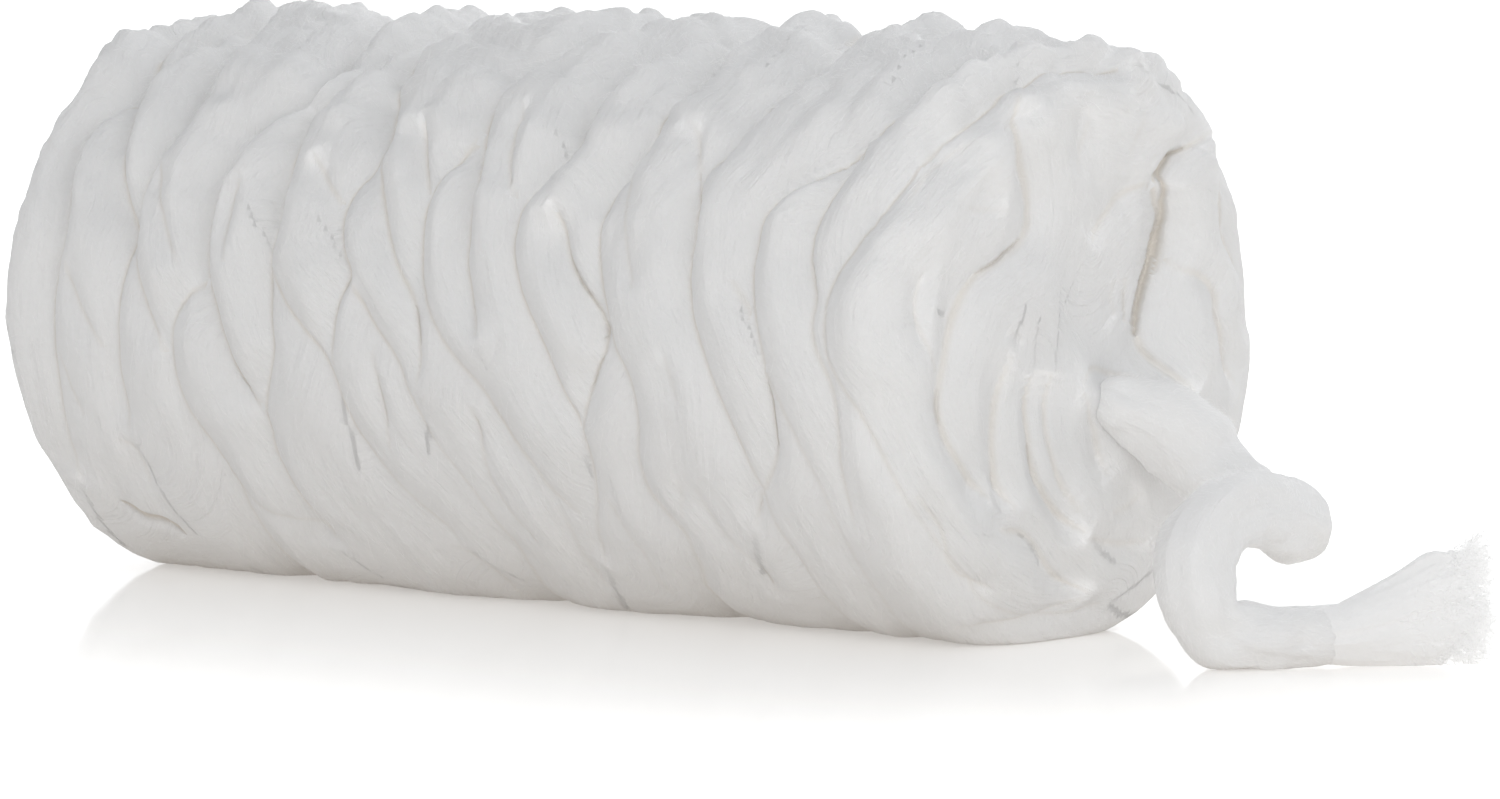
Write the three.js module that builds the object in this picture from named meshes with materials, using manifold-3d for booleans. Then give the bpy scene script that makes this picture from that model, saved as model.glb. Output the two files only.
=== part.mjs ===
// A roll of soft cotton cord (sliver) that lies on its side, with its loose end pulled out of one end face.
// Millimetres, +Z up. The roll's axis runs along X, and the loose end comes out at +X.
import * as THREE from 'three';
import { mergeVertices } from 'three/addons/utils/BufferGeometryUtils.js';
import Module from 'manifold-3d';

const wasm = await Module();
wasm.setup();

// Driving dimensions
const ROLL_DIAMETER = 175;
const ROLL_LENGTH = 358;
const SETTLE = 5; // how far the soft roll sits down into its flat spot
const RIM_RADIUS = 30; // rounding from the side into an end face
const CORE_DEPTH = 11; // from the outermost turns down to the packed core
const CORD_DIAMETER = 18;
const SEAT_GAP = 0.3;

const ROLL_RADIUS = ROLL_DIAMETER / 2;
const AXIS_HEIGHT = ROLL_RADIUS - SETTLE;
const HALF_LENGTH = ROLL_LENGTH / 2;

// Resolution of the roll's surface
const AROUND = 80;
const SIDE_RINGS = 51;
const RIM_RINGS = 4;
const FACE_RINGS = 7;

const COTTON = new THREE.MeshStandardMaterial({ color: 0xf6f5f2, roughness: 0.95, metalness: 0 });
const FRAYED_COTTON = new THREE.MeshStandardMaterial({ color: 0xfbfaf8, roughness: 1, metalness: 0 });

// The turns on the side, one row for each strand that shows. A station is [x, angle]:
// angle 0 faces -Y, 90 is the top and -90 the floor.
const SIDE_STRANDS = [
  // first turns, at the far rim
  { from: [-158, 112], by: [-156, 60], to: [-160, 34], wide: 26 },
  { from: [-160, 44], by: [-161, 5], to: [-155, -38], wide: 26 },
  { from: [-155, -28], by: [-162, -55], to: [-163, -112], wide: 30 },
  { from: [-138, 112], by: [-146, 72], to: [-139, 50], wide: 26 },
  { from: [-134, 72], by: [-129, 44], to: [-122, 12], wide: 27 },
  { from: [-145, 52], by: [-144, 22], to: [-126, -10], wide: 27 },
  { from: [-150, 14], by: [-145, -10], to: [-129, -32], wide: 22 },
  { from: [-150, -12], by: [-149, -30], to: [-126, -36], wide: 20 },
  { from: [-158, -38], by: [-140, -42], to: [-120, -52], wide: 16 },
  { from: [-160, -60], by: [-140, -64], to: [-118, -70], wide: 22 },
  // third turn
  { from: [-112, 112], by: [-123, 74], to: [-116, 54], wide: 26 },
  { from: [-82, 112], by: [-94, 52], to: [-96, 22], wide: 36 },
  { from: [-112, 60], by: [-113, 44], to: [-107, 28], wide: 20 },
  { from: [-112, 42], by: [-104, 22], to: [-94, 2], wide: 22 },
  { from: [-118, 34], by: [-115, 12], to: [-99, -8], wide: 22 },
  { from: [-119, 10], by: [-115, -22], to: [-108, -66], wide: 28 },
  // fourth turn
  { from: [-62, 112], by: [-60, 64], to: [-66, 46], wide: 18 },
  { from: [-68, 52], by: [-82, 22], to: [-65, -19], wide: 27 },
  { from: [-89, 10], by: [-90, -20], to: [-66, -50], wide: 30 },
  { from: [-96, -34], by: [-90, -56], to: [-80, -112], wide: 32 },
  // fifth turn
  { from: [-44, 112], by: [-49, 62], to: [-58, 44], wide: 24 },
  { from: [-48, 68], by: [-40, 46], to: [-35, 23], wide: 22 },
  { from: [-56, 50], by: [-50, 36], to: [-36, 20], wide: 16 },
  { from: [-69, 50], by: [-67, 36], to: [-64, 18], wide: 14 },
  { from: [-60, 39], by: [-56, 14], to: [-36, -11], wide: 26 },
  { from: [-63, 14], by: [-56, -5], to: [-36, -22], wide: 16 },
  { from: [-59, -5], by: [-56, -30], to: [-24, -46], wide: 30 },
  { from: [-62, -34], by: [-46, -54], to: [-18, -62], wide: 28 },
  { from: [-46, -56], by: [-38, -72], to: [-30, -112], wide: 28 },
  // sixth turn
  { from: [-18, 112], by: [-24, 66], to: [-31, 50], wide: 22 },
  { from: [-32, 58], by: [-23, 34], to: [-5, 6], wide: 24 },
  { from: [-6, 112], by: [-6, 50], to: [-2, 28], wide: 22 },
  { from: [-32, 34], by: [-28, 10], to: [-3, -13], wide: 24 },
  { from: [-29, 3], by: [-28, -22], to: [-10, -48], wide: 24 },
  { from: [-13, 2], by: [-9, -22], to: [-7, -48], wide: 20 },
  { from: [-20, -42], by: [-18, -60], to: [-24, -112], wide: 28 },
  // seventh turn
  { from: [12, 112], by: [14, 72], to: [17, 56], wide: 22 },
  { from: [12, 62], by: [13, 36], to: [31, 0], wide: 22 },
  { from: [30, 112], by: [31, 54], to: [31, 26], wide: 24 },
  { from: [4, 40], by: [5, 12], to: [24, -18], wide: 24 },
  { from: [3, -3], by: [8, -28], to: [4, -70], wide: 28 },
  { from: [23, -12], by: [29, -34], to: [28, -64], wide: 24 },
  { from: [36, -40], by: [28, -58], to: [16, -112], wide: 26 },
  // eighth turn
  { from: [42, 112], by: [52, 74], to: [56, 52], wide: 26 },
  { from: [44, 60], by: [50, 34], to: [67, 2], wide: 22 },
  { from: [62, 112], by: [59, 56], to: [64, 29], wide: 24 },
  { from: [38, 38], by: [44, 14], to: [63, -19], wide: 27 },
  { from: [33, 12], by: [35, -14], to: [54, -40], wide: 27 },
  { from: [58, -30], by: [52, -50], to: [40, -112], wide: 26 },
  // ninth turn
  { from: [80, 112], by: [80, 64], to: [78, 40], wide: 26 },
  { from: [98, 112], by: [99, 56], to: [97, 33], wide: 24 },
  { from: [70, 38], by: [72, 8], to: [93, -29], wide: 24 },
  { from: [78, 48], by: [86, 22], to: [97, -11], wide: 24 },
  { from: [70, -4], by: [69, -32], to: [70, -70], wide: 24 },
  { from: [98, -22], by: [94, -44], to: [84, -112], wide: 28 },
  // tenth turn
  { from: [132, 112], by: [126, 58], to: [117, 30], wide: 36 },
  { from: [112, 62], by: [111, 46], to: [120, 29], wide: 18 },
  { from: [104, 42], by: [104, 10], to: [122, -29], wide: 27 },
  { from: [114, 30], by: [121, 12], to: [131, -9], wide: 16 },
  { from: [101, -2], by: [104, -26], to: [108, -54], wide: 18 },
  { from: [123, -26], by: [118, -48], to: [108, -112], wide: 28 },
  // last turns, at the near rim
  { from: [146, 54], by: [126, 20], to: [150, -18], wide: 28 },
  { from: [135, -8], by: [133, -30], to: [127, -58], wide: 22 },
  { from: [147, -32], by: [141, -54], to: [130, -112], wide: 26 },
  { from: [150, -14], by: [151, -36], to: [148, -62], wide: 18 },
  { from: [152, 112], by: [151, 56], to: [148, 18], wide: 24 },
  { from: [164, 96], by: [160, 50], to: [160, 0], wide: 26 },
  { from: [160, 28], by: [156, -10], to: [158, -52], wide: 30 },
  { from: [160, -24], by: [160, -62], to: [160, -104], wide: 28 },
];

// Even turns that fill in over the top and under the roll, where no strand above is shown
const CROSSINGS = { first: -156, last: 156, spacing: 26, top: 90, floor: -90, half: 42, lean: 5, wide: 28 };
const CROSSING_SINK = 2;

// The folds of an end face, one row for each. A station is [y, z, depth in from the end].
const FACE_FOLDS = [
  // the last turn, low along the rim
  {
    wide: 34,
    along: [
      [-74, 100, 24], [-80, 68, 20], [-66, 34, 15], [-36, 13, 13], [2, 8, 14], [38, 18, 16], [64, 42, 18],
    ],
  },
  { wide: 24, along: [[2, 18, 9], [28, 21, 9], [48, 32, 10], [60, 48, 12], [64, 66, 14]] },
  { wide: 22, along: [[-10, 10, 14], [20, 11, 14], [44, 22, 14], [62, 40, 14]] },
  // broad folds that come over the rim at the left
  { wide: 38, along: [[-28, 158, 16], [-58, 128, 9], [-72, 92, 6], [-64, 58, 5], [-40, 34, 8]] },
  { wide: 26, along: [[-76, 70, 10], [-66, 44, 6], [-50, 26, 6], [-25, 15, 7], [8, 12, 9]] },
  { wide: 24, along: [[-60, 36, 8], [-44, 28, 3], [-26, 27, 3], [-8, 19, 6], [8, 13, 10]] },
  { wide: 26, along: [[-18, 120, 8], [-36, 99, 4], [-43, 76, 4], [-39, 57, 4], [-28, 42, 6], [-12, 28, 9]] },
  // folds that come down from the top into the hollow
  { wide: 28, along: [[-12, 170, 18], [-10, 148, 6], [-8, 126, 5], [4, 108, 10], [24, 94, 18]] },
  { wide: 32, along: [[18, 166, 16], [20, 147, 5], [12, 126, 6], [10, 108, 10], [24, 92, 18]] },
  { wide: 26, along: [[50, 150, 14], [38, 138, 5], [24, 128, 6], [14, 114, 9]] },
  { wide: 22, along: [[46, 124, 9], [30, 114, 7], [20, 102, 9], [16, 90, 14]] },
  { wide: 12, along: [[40, 106, 14], [37, 96, 12], [30, 87, 14]] },
  { wide: 11, along: [[32, 108, 14], [28, 98, 12], [22, 88, 15]] },
  // upright folds at the right
  { wide: 21, along: [[58, 146, 8], [56, 128, 3], [52, 112, 4], [50, 99, 9]] },
  { wide: 25, along: [[66, 106, 7], [54, 93, 2], [50, 77, 2], [58, 60, 6]] },
  {
    wide: 30,
    along: [
      [40, 156, 18], [56, 138, 14], [71, 112, 13], [76, 86, 13], [72, 60, 13], [58, 36, 14], [36, 18, 16],
    ],
  },
  // thin folds beside the loose end's root
  { wide: 16, along: [[10, 92, 14], [-16, 76, 8], [-22, 56, 5], [-14, 38, 5], [0, 25, 6], [18, 15, 10]] },
  { wide: 14, along: [[14, 88, 15], [-4, 70, 9], [-5, 52, 8], [4, 38, 7], [20, 27, 9]] },
  { wide: 15, along: [[22, 82, 16], [8, 66, 11], [13, 50, 10], [24, 38, 10], [36, 32, 12]] },
];

// The loose end's centre line, from inside the hollow to where it frays
const CORD_ROUTE = [
  [158, 17, 70], [168, 24, 65], [180, 31, 58], [193, 36, 51], [206, 39, 46], [219, 39, 42], [230, 35, 39],
  [237, 26, 38], [240, 15, 39], [241, 3, 41], [241, -9, 41], [241, -20, 38], [240, -28, 31], [240, -32, 22],
  [241, -31, 14], [245, -26, 9.6], [251, -18, 9.1], [258, -9, 9.1], [265, -1, 9.1],
];

const degrees = THREE.MathUtils.degToRad;

// Radius of the plain rounded roll at a place along its axis
function radiusAt(x) {
  const pastEnd = Math.max(Math.abs(x) - (HALF_LENGTH - RIM_RADIUS), 0);
  return ROLL_RADIUS - RIM_RADIUS + Math.sqrt(RIM_RADIUS ** 2 - pastEnd ** 2);
}

// Outward direction of the plain rounded roll near a point
function rollNormal(point) {
  const radial = new THREE.Vector3(0, point.y, point.z - AXIS_HEIGHT);
  const pastSide = radial.length() - (ROLL_RADIUS - RIM_RADIUS);
  const pastEnd = Math.abs(point.x) - (HALF_LENGTH - RIM_RADIUS);
  const endward = new THREE.Vector3(Math.sign(point.x), 0, 0);
  radial.normalize();
  if (pastEnd > 0 && pastSide > 0) {
    return radial.multiplyScalar(pastSide).addScaledVector(endward, pastEnd).normalize();
  }
  return pastEnd > pastSide ? endward : radial;
}

// A strand is a row of flattened pads that overlap: each has a centre, an outward normal,
// a half width across and a half thickness along the normal.
const PADS = 22;
const FLATNESS = 0.36; // half thickness for each millimetre of width
const THICKEST = 11;
const LAP = 3; // how far a strand spreads past its own width on each side
const BLUNT_TIP = 0.06; // share of the taper that is cut off at each tip
const SIDE_TUCK = { deep: 9, power: 2.5 }; // how a strand's tips dive under its neighbours
const FACE_TUCK = { deep: 7, power: 3 };

function padsAlong(pathAt, wide, tuck) {
  const pads = [];
  for (let i = 0; i <= PADS; i++) {
    const t = i / PADS;
    const fullness = Math.sqrt(Math.sin(Math.PI * (BLUNT_TIP + (1 - 2 * BLUNT_TIP) * t)));
    const { point, normal } = pathAt(t);
    const thick = Math.min(FLATNESS * wide, THICKEST) * fullness;
    const sink = thick + tuck.deep * Math.abs(2 * t - 1) ** tuck.power;
    pads.push({
      centre: point.addScaledVector(normal, -sink),
      normal,
      across: (wide / 2 + LAP) * fullness,
      thick,
    });
  }
  return pads;
}

const turnedBack = (v) => v.set(-v.x, -v.y, v.z);

// A strand on the side: a curve through its three stations, sunk by some depth under the outer surface
function sideStrand({ from, by, to, wide }, back, depth = 0) {
  return padsAlong((t) => {
    const bend = (a, b, c) => (1 - t) ** 2 * a + 2 * t * (1 - t) * (2 * b - (a + c) / 2) + t * t * c;
    const x = bend(from[0], by[0], to[0]);
    const angle = degrees(bend(from[1], by[1], to[1]));
    const outward = new THREE.Vector3(0, -Math.cos(angle), Math.sin(angle));
    const point = new THREE.Vector3(x, 0, AXIS_HEIGHT).addScaledVector(outward, radiusAt(x));
    const normal = rollNormal(point);
    point.addScaledVector(normal, -depth);
    if (back) {
      turnedBack(point);
      turnedBack(normal);
    }
    return { point, normal };
  }, wide, SIDE_TUCK);
}

function crossingStrands() {
  const { first, last, spacing, top, floor, half, lean, wide } = CROSSINGS;
  const strands = [];
  for (let x = first; x <= last; x += spacing) {
    for (const middle of [top, floor]) {
      const row = { from: [x + lean, middle + half], by: [x, middle], to: [x - lean, middle - half], wide };
      strands.push(sideStrand(row, false, CROSSING_SINK));
    }
  }
  return strands;
}

// A fold on an end face; the far end has the same folds, turned about the axis
const FAR_END_TURN = degrees(150);

function faceFold({ wide, along }, farEnd) {
  const curve = new THREE.CatmullRomCurve3(
    along.map(([y, z, depth]) => new THREE.Vector3(HALF_LENGTH - depth, y, z)),
    false,
    'catmullrom',
  );
  const about = new THREE.Vector3(1, 0, 0);
  return padsAlong((t) => {
    const point = curve.getPoint(t);
    const normal = rollNormal(point);
    if (farEnd) {
      point.z -= AXIS_HEIGHT;
      turnedBack(point.applyAxisAngle(about, FAR_END_TURN));
      point.z += AXIS_HEIGHT;
      turnedBack(normal.applyAxisAngle(about, FAR_END_TURN));
    }
    return { point, normal };
  }, wide, FACE_TUCK);
}

// Distance along a ray to the far side of a pad, or 0 where the ray misses it
function padReach(pad, origin, direction) {
  const away = origin.clone().sub(pad.centre);
  const awayOut = away.dot(pad.normal);
  const headOut = direction.dot(pad.normal);
  const flat = 1 / pad.across ** 2;
  const tall = 1 / pad.thick ** 2 - flat;
  const a = flat + tall * headOut ** 2;
  const b = flat * away.dot(direction) + tall * awayOut * headOut;
  const c = flat * away.lengthSq() + tall * awayOut ** 2 - 1;
  const inside = b * b - a * c;
  return inside > 0 ? (-b + Math.sqrt(inside)) / a : 0;
}

// The roll's plain outline, turned about its axis: face centre, face, rim, side and back again
function rollOutline() {
  const points = [];
  const flatRadius = ROLL_RADIUS - RIM_RADIUS;
  for (let i = 0; i < FACE_RINGS; i++) points.push([flatRadius * i / FACE_RINGS, HALF_LENGTH]);
  for (let i = 0; i < RIM_RINGS; i++) {
    const turn = Math.PI / 2 * i / RIM_RINGS;
    points.push([flatRadius + RIM_RADIUS * Math.sin(turn), HALF_LENGTH - RIM_RADIUS * (1 - Math.cos(turn))]);
  }
  const near = points.map(([radius, x]) => new THREE.Vector2(radius, x));
  const far = near.map((p) => new THREE.Vector2(p.x, -p.y)).reverse();
  const side = [];
  const sideLength = ROLL_LENGTH - 2 * RIM_RADIUS;
  for (let i = 0; i <= SIDE_RINGS; i++) {
    side.push(new THREE.Vector2(ROLL_RADIUS, sideLength / 2 - sideLength * i / SIDE_RINGS));
  }
  return [...near, ...side, ...far].reverse();
}

// The wound roll: its plain outline raised to the outermost strand on a ray from inside
const FAN_INSET = 62; // from each end to where the rays to that end start
const BLUR = 1.6; // from a point's own ray to each of the four beside it
const BESIDE = [[1, 0], [-1, 0], [0, 1], [0, -1]];
const OWN_SHARE = 2; // weight of a point's own ray in the average

function woundRoll() {
  const strands = crossingStrands();
  for (const back of [false, true]) {
    for (const row of SIDE_STRANDS) strands.push(sideStrand(row, back));
    for (const row of FACE_FOLDS) strands.push(faceFold(row, back));
  }
  const pads = strands.flat();
  const geometry = new THREE.LatheGeometry(rollOutline(), AROUND);
  geometry.rotateZ(-Math.PI / 2);
  geometry.translate(0, 0, AXIS_HEIGHT);
  const position = geometry.getAttribute('position');
  const target = new THREE.Vector3();
  const reachTo = (goal) => {
    const start = THREE.MathUtils.clamp(goal.x, -(HALF_LENGTH - FAN_INSET), HALF_LENGTH - FAN_INSET);
    const origin = new THREE.Vector3(start, 0, AXIS_HEIGHT);
    const direction = goal.clone().sub(origin);
    const plain = direction.length();
    direction.normalize();
    let reach = plain - CORE_DEPTH;
    for (const pad of pads) reach = Math.max(reach, padReach(pad, origin, direction));
    return { origin, direction, reach };
  };
  for (let i = 0; i < position.count; i++) {
    target.fromBufferAttribute(position, i);
    const middle = reachTo(target);
    const sideways = new THREE.Vector3(0, target.z - AXIS_HEIGHT, -target.y).normalize();
    const lengthways = new THREE.Vector3().crossVectors(sideways, rollNormal(target));
    let sum = OWN_SHARE * middle.reach;
    for (const [u, v] of BESIDE) {
      const beside = target.clone().addScaledVector(sideways, u * BLUR).addScaledVector(lengthways, v * BLUR);
      sum += reachTo(beside).reach;
    }
    target.copy(middle.origin).addScaledVector(middle.direction, sum / (OWN_SHARE + BESIDE.length));
    position.setXYZ(i, target.x, target.y, target.z);
  }
  settle(geometry);
  return geometry;
}

// Centres the roll's box on the origin at its real size, then presses its underside flat
function settle(geometry) {
  geometry.computeBoundingBox();
  const { min, max } = geometry.boundingBox;
  const size = max.clone().sub(min);
  geometry.translate(-(min.x + max.x) / 2, -(min.y + max.y) / 2, -min.z);
  geometry.scale(ROLL_LENGTH / size.x, ROLL_DIAMETER / size.y, ROLL_DIAMETER / size.z);
  const position = geometry.getAttribute('position');
  for (let i = 0; i < position.count; i++) {
    position.setZ(i, Math.max(position.getZ(i) - SETTLE, 0));
  }
  position.needsUpdate = true;
}

function solidOf(geometry) {
  const plain = new THREE.BufferGeometry();
  const source = geometry.index ? geometry.toNonIndexed() : geometry;
  plain.setAttribute('position', source.getAttribute('position').clone());
  const merged = mergeVertices(plain, 1e-3);
  return new wasm.Manifold(new wasm.Mesh({
    numProp: 3,
    vertProperties: merged.attributes.position.array,
    triVerts: new Uint32Array(merged.index.array),
  }));
}

function geometryOf(solid) {
  const { vertProperties, triVerts } = solid.getMesh();
  const geometry = new THREE.BufferGeometry();
  geometry.setAttribute('position', new THREE.BufferAttribute(new Float32Array(vertProperties), 3));
  geometry.setIndex(new THREE.BufferAttribute(new Uint32Array(triVerts), 1));
  geometry.computeVertexNormals();
  return geometry;
}

const largest = (solid) => solid.decompose().reduce((a, b) => (b.volume() > a.volume() ? b : a));

// The loose end: a round tube along its route, cut where it comes out of the roll's folds
const CORD_SIDES = 12;
const CORD_STEPS = 46;
const CUT_SHIFT = 0.45; // keeps the seat gap where the folds slant

function looseEnd(rollGeometry) {
  const section = new THREE.Shape();
  for (let i = 0; i < CORD_SIDES; i++) {
    const turn = 2 * Math.PI * i / CORD_SIDES;
    const corner = [CORD_DIAMETER / 2 * Math.cos(turn), CORD_DIAMETER / 2 * Math.sin(turn)];
    if (i === 0) section.moveTo(...corner);
    else section.lineTo(...corner);
  }
  section.closePath();
  const route = new THREE.CatmullRomCurve3(
    CORD_ROUTE.map((p) => new THREE.Vector3(...p)), false, 'catmullrom',
  );
  const tube = new THREE.ExtrudeGeometry(section, {
    steps: CORD_STEPS, extrudePath: route, bevelEnabled: false,
  });
  const roll = solidOf(rollGeometry).translate([CUT_SHIFT, 0, 0]);
  return geometryOf(largest(solidOf(tube).subtract(roll)));
}

// The frayed tip: a short stub that opens into a fan of thin locks, the lowest level with the floor
const STUB = { length: 12, startRadius: 8.6, endRadius: 6.5 };
const LOCK = { length: 36, rootRadius: 1.9, pointRadius: 0.5, sides: 4, bends: 2 };
const FAN = {
  rows: 13, columns: 3, // locks up and across
  lowest: -3, highest: 36, sway: 9, // tilt of the outer rows and turn of a column, in degrees
  rootsHigh: 9, rootsApart: 3, // where the roots sit in the stub
  unevenTurn: 3, unevenLength: 0.07, // degrees, and a share of the length
};

function frayedTip() {
  const end = new THREE.Vector3(...CORD_ROUTE.at(-1));
  const before = new THREE.Vector3(...CORD_ROUTE.at(-2));
  const heading = end.clone().sub(before).setZ(0).normalize();
  const along = new THREE.Vector3(0, 1, 0);
  const up = new THREE.Vector3(0, 0, 1);
  const aside = new THREE.Vector3().crossVectors(up, heading);
  const pointed = (geometry, length, root, direction) => {
    geometry.translate(0, length / 2, 0);
    geometry.applyQuaternion(new THREE.Quaternion().setFromUnitVectors(along, direction));
    geometry.translate(root.x, root.y, root.z);
    return solidOf(geometry);
  };
  const start = end.clone().addScaledVector(heading, SEAT_GAP);
  const stub = new THREE.CylinderGeometry(STUB.endRadius, STUB.startRadius, STUB.length, CORD_SIDES, 1);
  let tip = pointed(stub, STUB.length, start, heading);
  for (let row = 0; row < FAN.rows; row++) {
    const high = row / (FAN.rows - 1);
    for (let column = 0; column < FAN.columns; column++) {
      const side = column - (FAN.columns - 1) / 2;
      const tilt = degrees(THREE.MathUtils.lerp(FAN.lowest, FAN.highest, high));
      const swing = degrees(FAN.sway * side + FAN.unevenTurn * Math.sin(5 * row + 2 * column));
      const length = LOCK.length * (1 - FAN.unevenLength * (1 - Math.sin(3 * row + 4 * column)));
      const direction = heading.clone()
        .applyAxisAngle(up, swing)
        .multiplyScalar(Math.cos(tilt))
        .addScaledVector(up, Math.sin(tilt));
      const root = start.clone()
        .addScaledVector(heading, STUB.length / 2)
        .addScaledVector(aside, FAN.rootsApart * side)
        .addScaledVector(up, FAN.rootsHigh * (high - 0.5));
      const lock = new THREE.CylinderGeometry(
        LOCK.pointRadius, LOCK.rootRadius, length, LOCK.sides, LOCK.bends,
      );
      tip = tip.add(pointed(lock, length, root, direction));
    }
  }
  return geometryOf(tip);
}

const roll = new THREE.Group();
roll.name = 'cotton_cord_roll';

function addPiece(name, geometry, material) {
  const mesh = new THREE.Mesh(geometry, material);
  mesh.name = name;
  roll.add(mesh);
}

const woundGeometry = woundRoll();
addPiece('wound_roll', woundGeometry, COTTON);
addPiece('loose_end', looseEnd(woundGeometry), COTTON);
addPiece('frayed_tip', frayedTip(), FRAYED_COTTON);

export default roll;
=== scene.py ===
"""A roll of soft cotton cord that lies on its side, with its loose end drawn out of one end face."""

import math

import bpy
import numpy as np
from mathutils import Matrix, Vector


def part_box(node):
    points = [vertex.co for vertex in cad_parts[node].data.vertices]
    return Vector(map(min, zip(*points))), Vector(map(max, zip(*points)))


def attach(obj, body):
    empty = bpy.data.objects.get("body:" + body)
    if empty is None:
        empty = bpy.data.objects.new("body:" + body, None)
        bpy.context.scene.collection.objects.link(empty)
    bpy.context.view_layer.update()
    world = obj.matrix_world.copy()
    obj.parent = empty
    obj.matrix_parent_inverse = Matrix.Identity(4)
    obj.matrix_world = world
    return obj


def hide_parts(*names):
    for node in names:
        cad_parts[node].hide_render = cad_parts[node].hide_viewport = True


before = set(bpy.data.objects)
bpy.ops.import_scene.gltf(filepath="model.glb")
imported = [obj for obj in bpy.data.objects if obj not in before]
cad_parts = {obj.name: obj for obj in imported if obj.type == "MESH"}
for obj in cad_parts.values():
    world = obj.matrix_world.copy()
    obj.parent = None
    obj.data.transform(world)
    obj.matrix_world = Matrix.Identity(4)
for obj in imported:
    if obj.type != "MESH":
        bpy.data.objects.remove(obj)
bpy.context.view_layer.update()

# Lengths in the tables and in the mesh code are millimetres, and angles are degrees, as in the part's
# source. Blender's own values are metres.
MM = 0.001
SEED = 7

# The roll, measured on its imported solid
roll_low, roll_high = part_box("wound_roll")
ROLL_RADIUS = (roll_high.y - roll_low.y) / 2 / MM
END_SWELL = 4
HALF_LENGTH = (roll_high.x - roll_low.x) / 2 / MM + END_SWELL
SETTLE = 2 * ROLL_RADIUS - roll_high.z / MM
AXIS_HEIGHT = ROLL_RADIUS - SETTLE
RIM_RADIUS = 22

# The camera, fitted to the roll's outline
FRAME_WIDTH = 1500
FRAME_HEIGHT = 799
FOCAL_PIXELS = 8000
SENSOR_WIDTH = 36
CAMERA_AZIMUTH = math.radians(41.36)
CAMERA_ELEVATION = math.radians(4.88)
CAMERA_DISTANCE = 2.3015
CAMERA_TARGET = Vector((0.05165, 0, 0.0606))

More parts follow.
